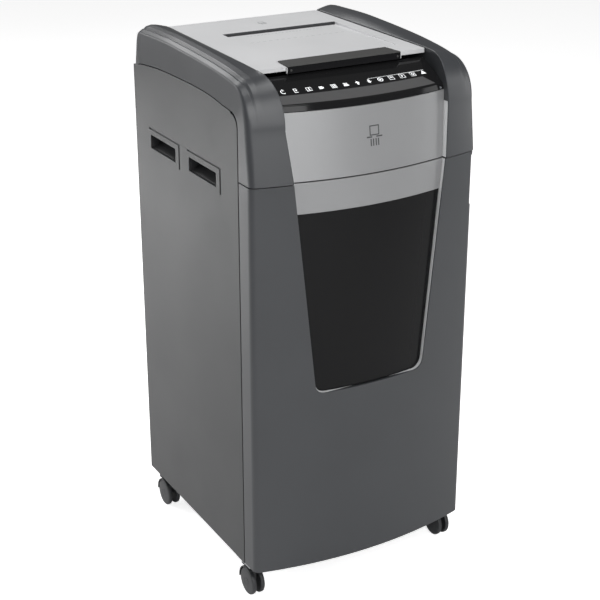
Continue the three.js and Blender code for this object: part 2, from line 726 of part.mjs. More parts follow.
function drive() {
  const rear = CUTTER_Y + SHAFT_GAP / 2;
  const front = CUTTER_Y - SHAFT_GAP / 2;
  const pitch = SHAFT_GAP / 2;
  const pinionR = (pitch * PINION_TEETH) / GEAR_TEETH;
  const pinionY = rear + pitch + pinionR;
  add("frame_plate_left", framePlate(-148, -144), STEEL);
  add("frame_plate_right", framePlate(144, 148), STEEL);
  add("stripper_comb_front", stripperComb(-1), STEEL);
  add("stripper_comb_rear", stripperComb(1), STEEL);
  add("cutter_front", cutter(front, 0), STEEL);
  add("cutter_rear", cutter(rear, 18), STEEL);
  add("cutter_gear_front", gearOnShaft(front, 0), STEEL);
  add("cutter_gear_rear", gearOnShaft(rear, Math.PI / GEAR_TEETH), STEEL);
  const stub = rod("x", 4, 14, [157.5, pinionY, CUTTER_Z], 10);
  add("drive_pinion", gear(PINION_TEETH, pinionR, 152, 162, pinionY, CUTTER_Z, 0).add(stub), STEEL);
  add("gearbox", box(165, 181, 151, 226, 722, 835), INNER_GREY);
  add("motor", rod("x", 26, 144, [92.5, 204, 746.5], 16), STEEL);
  add("feed_shaft", rod("x", 4, 322, [12, FEED_Y, FEED_Z], 10), STEEL);
  for (const [name, x] of [["left", -ROLLER_X], ["right", ROLLER_X]]) {
    const roller = rod("x", FEED_R, 30, [x, FEED_Y, FEED_Z], 16);
    add(`feed_roller_${name}`, roller.subtract(rod("x", 4.4, 40, [x, FEED_Y, FEED_Z], 10)), RUBBER);
  }
  add("feed_pulley", pulley(FEED_Y, FEED_Z, 4.4), INNER_GREY);
  add("drive_pulley", pulley(front, CUTTER_Z, 8.4), INNER_GREY);
  add("feed_belt", belt([front, CUTTER_Z], [FEED_Y, FEED_Z]), RUBBER);
}

function pulley(y, z, boreR) {
  const x = 167.5;
  return rod("x", PULLEY_R, 5, [x, y, z], 20).subtract(rod("x", boreR, 10, [x, y, z], 12));
}

// The belt that carries the drive up from a cutter to the feed rollers.
function belt(low, high) {
  const angle = THREE.MathUtils.radToDeg(Math.atan2(high[1] - low[1], high[0] - low[0]));
  const loop = (r) => [
    ...arc(high[0], high[1], r, angle - 90, angle + 90, 8),
    ...arc(low[0], low[1], r, angle + 90, angle + 270, 8),
  ];
  return slabX(loop(PULLEY_R + 2.6), 165.2, 169.8).subtract(slabX(loop(PULLEY_R + 0.6), 160, 175));
}

function gearOnShaft(y, phase) {
  const made = gear(GEAR_TEETH, SHAFT_GAP / 2, 152, 162, y, CUTTER_Z, phase);
  return made.subtract(rod("x", 8.4, 40, [157, y, CUTTER_Z], 12));
}

cabinet();
power();
head();
door();
drive();
casters();

export default group;
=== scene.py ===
# %% [markdown]
# # An office paper shredder on casters
# This lesson dresses a finished CAD model in Blender. The CAD part arrives as a fixed frame:
# every node has its true size and place, in metres, with +Z up and the front facing -Y.
# Here the casings get rounded, moulded shapes, the drive gets toothed cutters, and every
# surface gets a procedural finish. The CAD parts are never moved.

# %% Load the frame
import math

import bmesh
import bpy
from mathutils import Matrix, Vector


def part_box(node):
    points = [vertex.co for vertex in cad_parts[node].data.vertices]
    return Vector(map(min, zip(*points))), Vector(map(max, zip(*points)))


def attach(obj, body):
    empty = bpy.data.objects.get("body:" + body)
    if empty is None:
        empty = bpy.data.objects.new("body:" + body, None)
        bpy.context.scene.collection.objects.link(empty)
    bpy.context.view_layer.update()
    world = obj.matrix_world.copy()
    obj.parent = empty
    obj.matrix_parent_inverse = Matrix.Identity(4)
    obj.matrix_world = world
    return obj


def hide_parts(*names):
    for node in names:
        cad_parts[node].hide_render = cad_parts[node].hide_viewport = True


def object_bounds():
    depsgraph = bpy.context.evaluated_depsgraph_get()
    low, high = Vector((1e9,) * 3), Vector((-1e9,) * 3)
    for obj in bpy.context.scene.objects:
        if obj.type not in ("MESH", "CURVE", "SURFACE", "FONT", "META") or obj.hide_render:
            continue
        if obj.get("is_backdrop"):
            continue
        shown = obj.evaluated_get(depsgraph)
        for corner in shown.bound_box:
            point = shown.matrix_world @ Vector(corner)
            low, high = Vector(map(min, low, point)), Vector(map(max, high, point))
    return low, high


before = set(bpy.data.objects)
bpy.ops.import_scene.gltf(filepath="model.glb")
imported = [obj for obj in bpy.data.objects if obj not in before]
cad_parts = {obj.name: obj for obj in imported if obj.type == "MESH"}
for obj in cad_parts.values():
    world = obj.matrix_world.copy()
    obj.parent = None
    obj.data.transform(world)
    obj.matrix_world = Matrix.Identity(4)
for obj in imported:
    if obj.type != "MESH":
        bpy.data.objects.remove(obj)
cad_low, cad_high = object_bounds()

MM = 0.001
print("CAD box in mm:", [round(v / MM) for v in (*cad_low, *cad_high)])

# %% [markdown]
# ## Places that the pieces share
# A cabinet like this is drawn around a few curves: the bowed front, the seam where the head
# meets the side panels, and the insert that widens from the window up to the control panel.
# They are functions of height or width here, so that neighbouring pieces always agree.
# All of them work in millimetres, because that is how a casing is dimensioned.

# %% Shared sizes and curves


def box_mm(node):
    low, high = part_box(node)
    return [v / MM for v in low], [v / MM for v in high]


HALF = cad_high.x / MM
BACK = cad_high.y / MM
FRONT = -235.0
SEAM_Y = box_mm("side_panel_left")[0][1]
HEAD_FOOT = box_mm("head_cover")[0][2]
DOOR_FOOT, DOOR_TOP = (box_mm("door_panel")[i][2] for i in (0, 1))
TRIM_FOOT = box_mm("door_trim")[0][2]
WINDOW_FOOT = box_mm("door_window")[0][2]
FASCIA_TOP = box_mm("head_fascia")[1][2]
LID_FRONT = box_mm("feed_lid")[0][1]
LID_REAR = box_mm("feed_lid")[1][1]
CASING_HALF = HALF - 0.2
BOW_R = 776.0
RECESS = 4.0
LEAN = 15.0


def bow(x):
    """How far forward the bowed front of the casing stands at x."""
    return FRONT + x * x / (2 * BOW_R)


def insert_bow(x):
    """The window, trim and fascia are bowed a little more than the casing."""
    return FRONT + RECESS + 1.35 * x * x / (2 * BOW_R)


def insert_half(z):
    """Half the width of the insert at height z."""
    return 107.5 + 0.103 * (z - 417.0)


def head_lean(z):
    """The head's foot flares out over the door, and above it the head leans back."""
    up = (z - HEAD_FOOT) / 134.5
    return LEAN * up - 2.0 * (1.0 - min(1.0, max(0.0, up)))


def fascia_lean(z):
    """How far the fascia has leant back at height z."""
    return LEAN * (z - HEAD_FOOT) / (FASCIA_TOP - HEAD_FOOT)


def seam_top(y):
    """Height of the side panel's curved top edge at depth y."""
    knots = [
        (-165, 877), (-115, 882.5), (-75, 888), (-15, 891), (55, 891), (125, 889.5), (185, 885), (235, 878),
    ]
    return smooth_through(knots, y)


def smooth_through(knots, x):
    """A smooth curve through a few (x, value) knots, with no overshoot to speak of."""
    xs = [k[0] for k in knots]
    x = min(max(x, xs[0]), xs[-1])
    i = max(0, min(len(xs) - 2, next((k for k in range(len(xs) - 1) if x <= xs[k + 1]), 0)))

    def slope(k):
        a, b = max(0, k - 1), min(len(knots) - 1, k + 1)
        return (knots[b][1] - knots[a][1]) / (knots[b][0] - knots[a][0])

    (x0, v0), (x1, v1) = knots[i], knots[i + 1]
    t, h = (x - x0) / (x1 - x0), x1 - x0
    return (
        (2 * t**3 - 3 * t**2 + 1) * v0 + (t**3 - 2 * t**2 + t) * h * slope(i)
        + (3 * t**2 - 2 * t**3) * v1 + (t**3 - t**2) * h * slope(i + 1)
    )


print("insert half width at foot and top:", round(insert_half(WINDOW_FOOT)), round(insert_half(FASCIA_TOP)))

# %% [markdown]
# ## The camera
# The machine is seen from the front left and from a little above, through a long lens, as a
# catalogue would show it. A long lens keeps the cabinet's sides nearly parallel. The lens is
# shifted slightly instead of tilted further, so that the upright edges keep their angle.

# %% Camera
camera_data = bpy.data.cameras.new("catalogue_lens")
camera_data.sensor_width = 36.0
camera_data.lens = 83.9
camera_data.shift_y = -0.04
camera_data.clip_end = 50.0
camera = bpy.data.objects.new("catalogue_camera", camera_data)
camera.location = (-1.171, -2.038, 1.454)
camera.rotation_euler = (math.radians(90.0 - 21.88), 0.0, math.radians(-29.71))
bpy.context.scene.collection.objects.link(camera)
bpy.context.scene.camera = camera
print("camera stands", round(camera.location.length, 2), "m from the origin")

# %% [markdown]
# ## Mesh helpers
# Most casings below are skins: a row of cross-sections joined by quads, which is how a lofted
# moulding is drawn in CAD too. A few are cut from a plain block with Boolean modifiers and then
# softened with a Bevel modifier, because an injection-moulded part has no knife edges.
# A Weighted Normal modifier keeps the large faces flat beside those small bevels.

# %% Make a mesh, bake its modifiers, soften its edges


def make(name, points, faces):
    """A new object from points in millimetres, merged and with its faces pointing outwards."""
    mesh = bpy.data.meshes.new(name)
    mesh.from_pydata([Vector(p) * MM for p in points], [], faces)
    bm = bmesh.new()
    bm.from_mesh(mesh)
    bmesh.ops.remove_doubles(bm, verts=bm.verts, dist=2e-6)
    bmesh.ops.dissolve_degenerate(bm, edges=bm.edges, dist=1e-6)
    bmesh.ops.recalc_face_normals(bm, faces=bm.faces)
    bm.to_mesh(mesh)
    bm.free()
    piece = bpy.data.objects.new(name, mesh)
    bpy.context.scene.collection.objects.link(piece)
    return piece


def skin(name, sections, capped=True):
    """Joins closed cross-sections, each a list of points, into one skin."""
    n = len(sections[0])
    points = [p for section in sections for p in section]
    faces = []
    for k in range(len(sections) - 1):
        for i in range(n):
            a, b = k * n + i, k * n + (i + 1) % n
            faces.append((a, b, b + n, a + n))
    if capped:
        faces.append(tuple(range(n - 1, -1, -1)))
        faces.append(tuple(range((len(sections) - 1) * n, len(sections) * n)))
    return make(name, points, faces)


def bake(piece):
    """Turns the evaluated result into a plain mesh and clears the modifiers."""
    bpy.context.view_layer.update()
    evaluated = piece.evaluated_get(bpy.context.evaluated_depsgraph_get())
    mesh = bpy.data.meshes.new_from_object(evaluated)
    old = piece.data
    piece.modifiers.clear()
    piece.data = mesh
    bpy.data.meshes.remove(old)
    return piece


def combine(piece, tool, operation="DIFFERENCE"):
    """Cuts, joins or intersects piece with tool, which is used up."""
    modifier = piece.modifiers.new("shape", "BOOLEAN")
    modifier.operation = operation
    modifier.solver = "EXACT"
    modifier.object = tool
    bake(piece)
    bpy.data.objects.remove(tool)
    return piece


def shade(piece, sharp=48.0):
    """Smooth shading, with edges sharper than the angle kept crisp."""
    piece.data.polygons.foreach_set("use_smooth", [True] * len(piece.data.polygons))
    piece.data.set_sharp_from_angle(angle=math.radians(sharp))
    weighted = piece.modifiers.new("normals", "WEIGHTED_NORMAL")
    weighted.keep_sharp = True
    return bake(piece)


def soften(piece, width, segments=3, angle=35.0, sharp=48.0):
    """Rounds every edge sharper than the angle by width, in millimetres."""
    bevel = piece.modifiers.new("edges", "BEVEL")
    bevel.width = width * MM
    bevel.segments = segments
    bevel.limit_method = "ANGLE"
    bevel.angle_limit = math.radians(angle)
    bevel.miter_outer = "MITER_ARC"
    bake(piece)
    return shade(piece, sharp)


# %% Outlines: arcs, rounded corners, plates


def arc(cx, cy, r, start, end, steps):
    angles = [math.radians(start + (end - start) * i / steps) for i in range(steps + 1)]
    return [(cx + r * math.cos(a), cy + r * math.sin(a)) for a in angles]


def rounded(corners, steps=6):
    """An open or closed outline whose corners, given as (x, y, radius), are rounded."""
    line = []
    for i, (x, y, r) in enumerate(corners):
        here = Vector((x, y))
        if r <= 0:
            line.append(tuple(here))
            continue
        before = (Vector(corners[i - 1][:2]) - here).normalized()
        after = (Vector(corners[(i + 1) % len(corners)][:2]) - here).normalized()
        half_angle = before.angle(after) / 2
        reach = r / math.tan(half_angle)
        start, end = here + before * reach, here + after * reach
        for k in range(steps + 1):
            t = k / steps
            line.append(tuple(start * (1 - t) ** 2 + here * 2 * t * (1 - t) + end * t * t))
    return line


def rectangle(a0, b0, a1, b1, r, steps=6):
    """A rectangle between two opposite corners, its own corners rounded by r."""
    return rounded([(a0, b0, r), (a1, b0, r), (a1, b1, r), (a0, b1, r)], steps)


def plate(name, outline, axis, low, high):
    """A closed outline pulled along an axis: "x" takes (y, z), "y" takes (x, z), "z" takes (x, y)."""
    place = {
        "x": lambda p, d: (d, p[0], p[1]),
        "y": lambda p, d: (p[0], d, p[1]),
        "z": lambda p, d: (p[0], p[1], d),
    }[axis]
    return skin(name, [[place(p, d) for p in outline] for d in (low, high)])


def block(name, x0, x1, y0, y1, z0, z1, r=0.0):
    """A box to cut or build with, its upright edges rounded by r."""
    return plate(name, rectangle(x0, y0, x1, y1, r), "z", z0, z1)


def lathe(name, profile, centre, axis="x", steps=48):
    """Turns a profile of (radius, along) points about a line through centre."""
    ring = []
    for r, along in profile:
        section = []
        for i in range(steps):
            a = 2 * math.pi * (i + 0.5) / steps
            u, v = r * math.cos(a), r * math.sin(a)
            offset = {"x": (along, u, v), "y": (u, along, v), "z": (u, v, along)}[axis]
            section.append(tuple(c + o for c, o in zip(centre, offset)))
        ring.append(section)
    return skin(name, ring)


def joined(name, pieces):
    """One object from several, their materials kept."""
    keep = pieces[0]
    with bpy.context.temp_override(active_object=keep, selected_editable_objects=pieces):
        bpy.ops.object.join()
    keep.name = name
    return keep


print("a rounded square has", len(rectangle(0, 0, 10, 10, 2)), "points")

# %% [markdown]
# ## Finishes
# Nothing on an office machine is one flat colour. Moulded plastic has a fine etched grain and
# tones that drift a little over a large panel, painted parts have a faint orange peel, bare
# steel shows the direction it was ground in, and glossy covers carry faint wiping marks.
# These effects are shared, so each is a node group with named inputs, placed in every material
# that needs it with its own values. The shader itself always stays in the material.

# %% Node helpers


def add_node(tree, kind, inputs=None, **settings):
    node = tree.nodes.new(kind)
    for key, value in settings.items():
        setattr(node, key, value)
    for key, value in (inputs or {}).items():
        if isinstance(value, bpy.types.NodeSocket):
            tree.links.new(value, node.inputs[key])
        else:
            node.inputs[key].default_value = value
    return node


def new_group(name, inputs, outputs):
    """A shader node group with number inputs and outputs, and its two end nodes."""
    tree = bpy.data.node_groups.new(name, "ShaderNodeTree")
    for label, value in inputs.items():
        socket = tree.interface.new_socket(label, in_out="INPUT", socket_type="NodeSocketFloat")
        socket.default_value = value
    for label in outputs:
        tree.interface.new_socket(label, in_out="OUTPUT", socket_type="NodeSocketFloat")
    return tree, tree.nodes.new("NodeGroupInput"), tree.nodes.new("NodeGroupOutput")


def noise(tree, size_mm, detail=2.0, vector=None):
    """Noise whose features are about size_mm across, on Object coordinates."""
    where = vector or tree.nodes.new("ShaderNodeTexCoord").outputs["Object"]
    scale = add_node(tree, "ShaderNodeMath", {0: 1000.0, 1: size_mm}, operation="DIVIDE")
    texture = add_node(tree, "ShaderNodeTexNoise", {"Vector": where, "Detail": detail})
    tree.links.new(scale.outputs[0], texture.inputs["Scale"])
    return texture.outputs["Fac"]


# %% The shared effects: moulded grain, ground lines, wiping marks
GRAIN, start, end = new_group("Moulded grain", {"Grain mm": 0.8, "Drift mm": 90.0}, ["Height", "Drift"])
GRAIN.links.new(noise(GRAIN, start.outputs["Grain mm"], 1.0), end.inputs["Height"])
GRAIN.links.new(noise(GRAIN, start.outputs["Drift mm"], 2.0), end.inputs["Drift"])

LINES, start, end = new_group("Ground lines", {"Spacing mm": 0.5, "Stretch": 60.0}, ["Height", "Tone"])
where = add_node(LINES, "ShaderNodeTexCoord").outputs["Object"]
thin = add_node(LINES, "ShaderNodeMath", {0: 1.0, 1: start.outputs["Stretch"]}, operation="DIVIDE")
along = add_node(LINES, "ShaderNodeCombineXYZ", {"X": thin.outputs[0], "Y": 1.0, "Z": 1.0})
squeezed = add_node(LINES, "ShaderNodeVectorMath", {0: where, 1: along.outputs[0]}, operation="MULTIPLY")
LINES.links.new(noise(LINES, start.outputs["Spacing mm"], 3.0, squeezed.outputs[0]), end.inputs["Height"])
LINES.links.new(noise(LINES, start.outputs["Spacing mm"], 5.0, squeezed.outputs[0]), end.inputs["Tone"])

MARKS, start, end = new_group("Wiping marks", {"Size mm": 60.0, "Amount": 0.5}, ["Mask"])
smear = noise(MARKS, start.outputs["Size mm"], 6.0)
few = add_node(MARKS, "ShaderNodeMapRange", {"Value": smear, "From Min": 0.5, "From Max": 0.72})
amount = start.outputs["Amount"]
share = add_node(MARKS, "ShaderNodeMath", {0: few.outputs[0], 1: amount}, operation="MULTIPLY")
MARKS.links.new(share.outputs[0], end.inputs["Mask"])
print("shared effects:", [group.name for group in (GRAIN, LINES, MARKS)])

# %% Materials from the shared effects


def new_material(name, **fixed):
    """A material with its shader; fixed are numbers that are the same all over."""
    material = bpy.data.materials.new(name)
    material.use_nodes = True
    tree = material.node_tree
    shader = tree.nodes["Principled BSDF"]
    for key, value in fixed.items():
        shader.inputs[key.replace("_", " ")].default_value = value
    return material, tree, shader


def effect(tree, group, **values):
    node = tree.nodes.new("ShaderNodeGroup")
    node.node_tree = group
    for key, value in values.items():
        node.inputs[key.replace("_", " ")].default_value = value
    return node


def vary(tree, factor, low, high):
    """A number that drifts between low and high as factor goes from 0.3 to 0.7."""
    sockets = {"Value": factor, "From Min": 0.3, "From Max": 0.7, "To Min": low, "To Max": high}
    return add_node(tree, "ShaderNodeMapRange", sockets).outputs[0]


def blend_tone(tree, factor, colour, spread):
    """The colour, drifting darker and lighter by spread."""
    node = add_node(tree, "ShaderNodeMix", data_type="RGBA")
    tree.links.new(vary(tree, factor, 0.0, 1.0), node.inputs["Factor"])
    node.inputs[6].default_value = (*[c * (1 - spread) for c in colour], 1.0)
    node.inputs[7].default_value = (*[c * (1 + spread) for c in colour], 1.0)
    return node.outputs[2]


def moulded(name, colour, roughness, grain=0.8, depth=0.03, spread=0.04, **fixed):
    """Moulded or painted plastic: drifting tone, etched grain, slightly uneven gloss."""
    material, tree, shader = new_material(name, **fixed)
    surface = effect(tree, GRAIN, Grain_mm=grain, Drift_mm=120.0)
    tree.links.new(blend_tone(tree, surface.outputs["Drift"], colour, spread), shader.inputs["Base Color"])
    rough = vary(tree, surface.outputs["Drift"], roughness - 0.03, roughness + 0.03)
    tree.links.new(rough, shader.inputs["Roughness"])
    bump = add_node(tree, "ShaderNodeBump", {"Height": surface.outputs["Height"], "Distance": depth * MM})
    tree.links.new(bump.outputs[0], shader.inputs["Normal"])
    return material


def ground_steel(name, colour, roughness, spacing=0.4, spread=0.12, **fixed):
    """Bare metal with the fine lines that grinding or turning leaves."""
    material, tree, shader = new_material(name, Metallic=1.0, **fixed)
    surface = effect(tree, LINES, Spacing_mm=spacing)
    tree.links.new(blend_tone(tree, surface.outputs["Tone"], colour, spread), shader.inputs["Base Color"])
    rough = vary(tree, surface.outputs["Height"], roughness - 0.08, roughness + 0.08)
    tree.links.new(rough, shader.inputs["Roughness"])
    bump = add_node(tree, "ShaderNodeBump", {"Height": surface.outputs["Height"], "Distance": 0.02 * MM})
    tree.links.new(bump.outputs[0], shader.inputs["Normal"])
    return material


def polished(name, colour, roughness, amount=0.5, **fixed):
    """Glossy plastic, a little duller where a cloth or a finger has passed."""
    material, tree, shader = new_material(name, **fixed)
    marks = effect(tree, MARKS, Size_mm=70.0, Amount=amount)
    tree.links.new(blend_tone(tree, marks.outputs["Mask"], colour, 0.12), shader.inputs["Base Color"])
    rough = add_node(
        tree, "ShaderNodeMapRange",
        {"Value": marks.outputs["Mask"], "To Min": roughness, "To Max": roughness + 0.14},
    )
    tree.links.new(rough.outputs[0], shader.inputs["Roughness"])
    return material


# %% The finishes of this machine
SHELL = moulded("grey shell", (0.038, 0.0392, 0.041), 0.34, grain=0.7, depth=0.02, IOR=1.38)
SHELL_DARK = moulded("graphite shell", (0.045, 0.0475, 0.052), 0.34, grain=0.7, depth=0.02)
PAINT = {"grain": 0.35, "depth": 0.008, "spread": 0.015}
SILVER = moulded("satin silver paint", (0.30, 0.303, 0.308), 0.42, Metallic=0.4, **PAINT)
# The lid's silver is far paler than the fascia's: partly painted light for its top-lit face.
LID_PAINT_WITH_PAINTED_LIGHT = moulded("lid silver paint with painted light", (0.66, 0.664, 0.672), 0.45, Metallic=0.1, **PAINT)
# Painted highlight: the rim's pale paint stands in for the lit side of the step along the insert.
RIM_HIGHLIGHT_PAINT = moulded(
    "silver rim with painted highlight", (0.72, 0.725, 0.73), 0.34, grain=0.35, depth=0.006, spread=0.015, Metallic=0.15,
)
TAB_GREY = moulded("tab grey", (0.050, 0.050, 0.0485), 0.5, grain=0.5, depth=0.01)
GLOSS = polished("gloss black", (0.008, 0.008, 0.009), 0.10, IOR=1.3)
SMOKED = polished("smoked window", (0.008, 0.008, 0.0085), 0.20, amount=0.5, IOR=1.25)
INNER = moulded("inner grey plastic", (0.045, 0.046, 0.05), 0.55, grain=1.0, depth=0.03)
BIN = moulded("bin plastic", (0.06, 0.062, 0.066), 0.5, grain=1.4, depth=0.05)
RUBBER = moulded("roller rubber", (0.018, 0.018, 0.018), 0.8, grain=0.6, depth=0.08)
WHEEL = moulded("wheel nylon", (0.028, 0.0295, 0.032), 0.42, grain=0.9, depth=0.03)
HOUSING = moulded("caster nylon", (0.035, 0.037, 0.038), 0.45, grain=0.9, depth=0.03)
BOARD = moulded("solder mask", (0.012, 0.09, 0.035), 0.35, grain=2.5, depth=0.02, spread=0.2)
STEEL = ground_steel("ground steel", (0.50, 0.51, 0.52), 0.34)
ZINC = ground_steel("zinc plated steel", (0.42, 0.43, 0.44), 0.45, spacing=2.5, spread=0.08)
INK = {"grain": 0.3, "depth": 0.004, "spread": 0.01}
# The white print glows a little: painted light that brightens the symbols on the panel and the marks on the
# rocker.
GLOWING_PRINT = moulded("white print with painted glow", (0.85, 0.87, 0.88), 0.5, Emission_Strength=0.45, **INK)
DARK_PRINT = moulded("grey print", (0.05, 0.052, 0.055), 0.5, **INK)
SOFT_PRINT = moulded("pale print", (0.30, 0.31, 0.315), 0.5, **INK)
print(len(bpy.data.materials), "materials")

# %% Dress a piece


def wear(piece, material):
    piece.data.materials.clear()
    piece.data.materials.append(material)
    return piece


def dress(piece, material, body, slot, *nodes):
    """Gives a new piece its finish, its body and the CAD nodes that it stands for."""
    if material:
        wear(piece, material)
    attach(piece, body)
    if nodes:
        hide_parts(*nodes)
    print(piece.name, len(piece.data.polygons), "faces on", body)
    return piece


# %% [markdown]
# ## The head casing
# The head is one moulding: two cheeks run beside the lid, bend over a brow and come down in
# front as the pillars beside the fascia. Its cross-section stays the same in kind all the way,
# so it is lofted. Each station has a section of ten corners. Along the cheeks the sections
# stand upright, round the brow and the back they fan about a fixed line, and down the pillars
# they lie flat. A narrow groove along the shoulder fades out where the brow begins.

# %% Sections of a cheek, a pillar and the back
BROW = (SEAM_Y + 22.0, 855.0)
BACK_FAN = (BACK - 24.0, 875.4)
RIDGE = [
    (-143, 932.5), (-125, 936), (-99, 939), (-60, 942.5), (0, 946), (60, 948.5), (120, 950), (211, 948),
]


def lid_half(y):
    return 159.5 - 7.5 * (y - LID_FRONT) / (LID_REAR - LID_FRONT)


def lid_top(y):
    return 935.0 + 5.0 * (y - LID_FRONT) / (LID_REAR - LID_FRONT)


def cheek_section(y, axis_z):
    """(x, height above the fan's line) of a cheek at depth y, from the seam over to the well."""
    seam = seam_top(y) + 1.6
    ridge = smooth_through(RIDGE, y)
    inner = lid_half(max(y, LID_FRONT)) + 1.8
    edge = lid_top(y) + 1.8
    corners = [
        (CASING_HALF, seam, 0), (209.0, ridge - 10.5, 5.0), (201.5, ridge - 6.0, 1.2),
        (199.0, ridge - 5.8, 0.8),
        (194.5, ridge - 2.0, 2.5), (184.0, ridge, 5.0), (175.0, ridge - (ridge - edge) * 0.15, 0),
        (166.0, ridge - (ridge - edge) * 0.48, 0), (inner, edge, 1.6), (inner, 902.0, 0),
    ]
    return [(x, z - axis_z) for x, z in rounded(corners)]


def pillar_section(z):
    """(x, depth in front of the fan's line) of a pillar at height z."""
    edge = insert_half(z) + 1.0

    def at(x, r=0.0):
        return (x, BROW[0] - bow(x) - head_lean(z), r)

    corner = at(CASING_HALF, 13.0)
    inside = (edge, at(edge)[1] - 16.0, 0)
    start = (CASING_HALF, BROW[0] - SEAM_Y + 2.0, 0)
    corners = [start, corner, at(199.6, 0.8), at(198.8, 0.3), at(195.8, 2.0), at(189.0, 5.0)]
    corners += [at(178.0), at(166.0), at(edge, 1.6), inside]
    return rounded(corners)


def back_section():
    """(x, depth behind the fan's line) of the back of a cheek."""
    inner = lid_half(LID_REAR) + 1.8
    corners = [
        (CASING_HALF, 1.0, 0), (CASING_HALF, 24.0, 15.0), (199.6, 24.0, 0.8), (198.8, 24.0, 0.3),
        (195.8, 24.0, 2.0), (189.0, 24.0, 5.0), (178.0, 24.0, 0), (169.0, 24.0, 0),
        (inner, 24.0, 1.6), (inner, 12.5, 0),
    ]
    return rounded(corners)


def fan(upright, level, axis, angle, power):
    """A section part way round a fan, between the upright one and the level one."""
    a = math.radians(angle)
    t = abs(math.cos(a))
    blend = t * t * (3 - 2 * t)
    section = []
    for (x0, up), (x1, out) in zip(upright, level):
        rise, run = abs(math.sin(a) / max(up, 0.5)), abs(t / max(out, 0.5))
        reach = (rise**power + run**power) ** (-1 / power)
        x = x0 + (x1 - x0) * blend
        section.append((x, axis[0] + reach * math.cos(a), axis[1] + reach * math.sin(a)))
    return section


# %% Loft one cheek with its pillar, then mirror it
sections = []
for i in range(12):
    sections.append(fan(cheek_section(*BACK_FAN), back_section(), BACK_FAN, 90.0 * i / 12, 3.6))
for i in range(41):
    y = BACK_FAN[0] + (BROW[0] - BACK_FAN[0]) * i / 40
    sections.append([(x, y, z) for x, z in cheek_section(y, 0.0)])
for i in range(1, 19):
    angle = 90.0 + 90.0 * i / 18
    sections.append(fan(cheek_section(*BROW), pillar_section(BROW[1]), BROW, angle, 2.0))
for i in range(1, 9):
    z = BROW[1] + (HEAD_FOOT - BROW[1]) * i / 8
    sections.append([(x, BROW[0] - out, z) for x, out in pillar_section(z)])

cheeks = []
for side in (1, -1):
    cheeks.append(skin("cheek", [[(side * x, y, z) for x, y, z in section] for section in sections]))
print("a cheek has", len(sections), "stations of", len(sections[0]), "points")

# %% The rail behind the lid joins the cheeks
rail = [
    (LID_REAR + 2.5, 905, 0), (LID_REAR + 2.5, 936.5, 1.5),
    (BACK - 0.3, 936.5, 9), (BACK - 0.3, BACK_FAN[1], 0),
]
back_rail = plate("back_rail", rounded(rail), "x", -158, 158)
head = joined("head_casing", [*cheeks, back_rail])
shade(head, 40.0)
dress(head, SHELL_DARK, "cabinet", "shell_dark", "head_cover")

# %% [markdown]
# ## The side panels
# Each side is a flat panel whose top follows the arc of the head. Two lifting grips are cut
# through it, and a shallow L-shaped groove is drawn round each grip as decoration. The panel is
# a plate cut with Boolean modifiers. Its edges are bevelled before the grooves are cut, so that
# the thin grooves stay crisp. The cuts leave long thin triangles in the broad faces, so those
# faces get their own flat normals at the end.

# %% Side panels with grips and grooves
GRIP_LOW, GRIP_HIGH = box_mm("grip_cup_right_rear")
GRIP_Z = (GRIP_LOW[2] + 3.0, GRIP_HIGH[2] - 3.0)
GROOVE_TOP, GROOVE_END, GROOVE_DEPTH = 776.0, 730.0, 2.2
GRIP_SPANS = [
    (low[1] + 3.0, high[1] - 3.0)
    for low, high in (box_mm("grip_cup_right_rear"), box_mm("grip_cup_right_front"))
]


def side_outline():
    top = [(y, seam_top(y)) for y in range(235, -144, -9)]
    corner = arc(BROW[0], BROW[1], 21.3, 90, 180, 8)
    return [*top, *corner, (SEAM_Y + 0.7, 64.0), (BACK, 64.0)]


def iron(panel):
    """Parts the shading of the two broad faces from the edges and cuts around them."""
    mesh = panel.data
    normals = [corner.vector.copy() for corner in mesh.corner_normals]
    sides = {}
    for face in mesh.polygons:
        broad = abs(face.normal.x) > 0.999
        for key in face.edge_keys:
            sides.setdefault(key, set()).add(broad)
        if broad:
            for corner in face.loop_indices:
                normals[corner] = face.normal.copy()
    for edge in mesh.edges:
        edge.use_edge_sharp = edge.use_edge_sharp or len(sides[edge.key]) == 2
    mesh.normals_split_custom_set(normals)
    return panel


def side_panel(name, side):
    low, high = sorted((side * (HALF - 4.0), side * HALF))
    panel = plate(f"side_panel_{name}_skin", side_outline(), "x", low, high)
    for start, stop in GRIP_SPANS:
        opening = rectangle(start, GRIP_Z[0], stop, GRIP_Z[1], 2)
        combine(panel, plate("grip", opening, "x", low - 5, high + 5))
    soften(panel, 1.3)
    for start, stop in GRIP_SPANS:
        line = [
            (stop + 5, GROOVE_TOP), (start - 18, GROOVE_TOP), (start - 18, GROOVE_END),
            (start - 13, GROOVE_END), (start - 13, GROOVE_TOP - 3.4), (stop + 5, GROOVE_TOP - 3.4),
        ]
        depth = sorted((side * (HALF - GROOVE_DEPTH), side * (HALF + 2.0)))
        combine(panel, plate("groove", line, "x", *depth))
    iron(shade(panel))
    return dress(panel, SHELL, "cabinet", "shell_grey", f"side_panel_{name}")


for name, side in (("left", -1), ("right", 1)):
    side_panel(name, side)

# %% [markdown]
# ## The door
# The door is a deep, bowed moulding. Its plan outline is pulled upwards, hollowed from behind,
# and cut for the window and the trim, which widen upwards as one tapered insert. A scoop at the
# right-hand edge takes the fingers that open it. Every edge is rounded by more than a
# millimetre, which is what catches the light along the insert.

# %% Plan outline of the door


def front_plan(inset, rear):
    """The casing's outline seen from above, closed across the back."""
    edge = CASING_HALF - inset
    right = rounded([(edge, rear, 0), (edge, bow(CASING_HALF) + inset, 13.0), (190, bow(190) + inset, 0)])
    right += [(x, bow(x) + inset) for x in range(190, -1, -10)]
    return [*right, *[(-x, y) for x, y in reversed(right) if x > 0]]


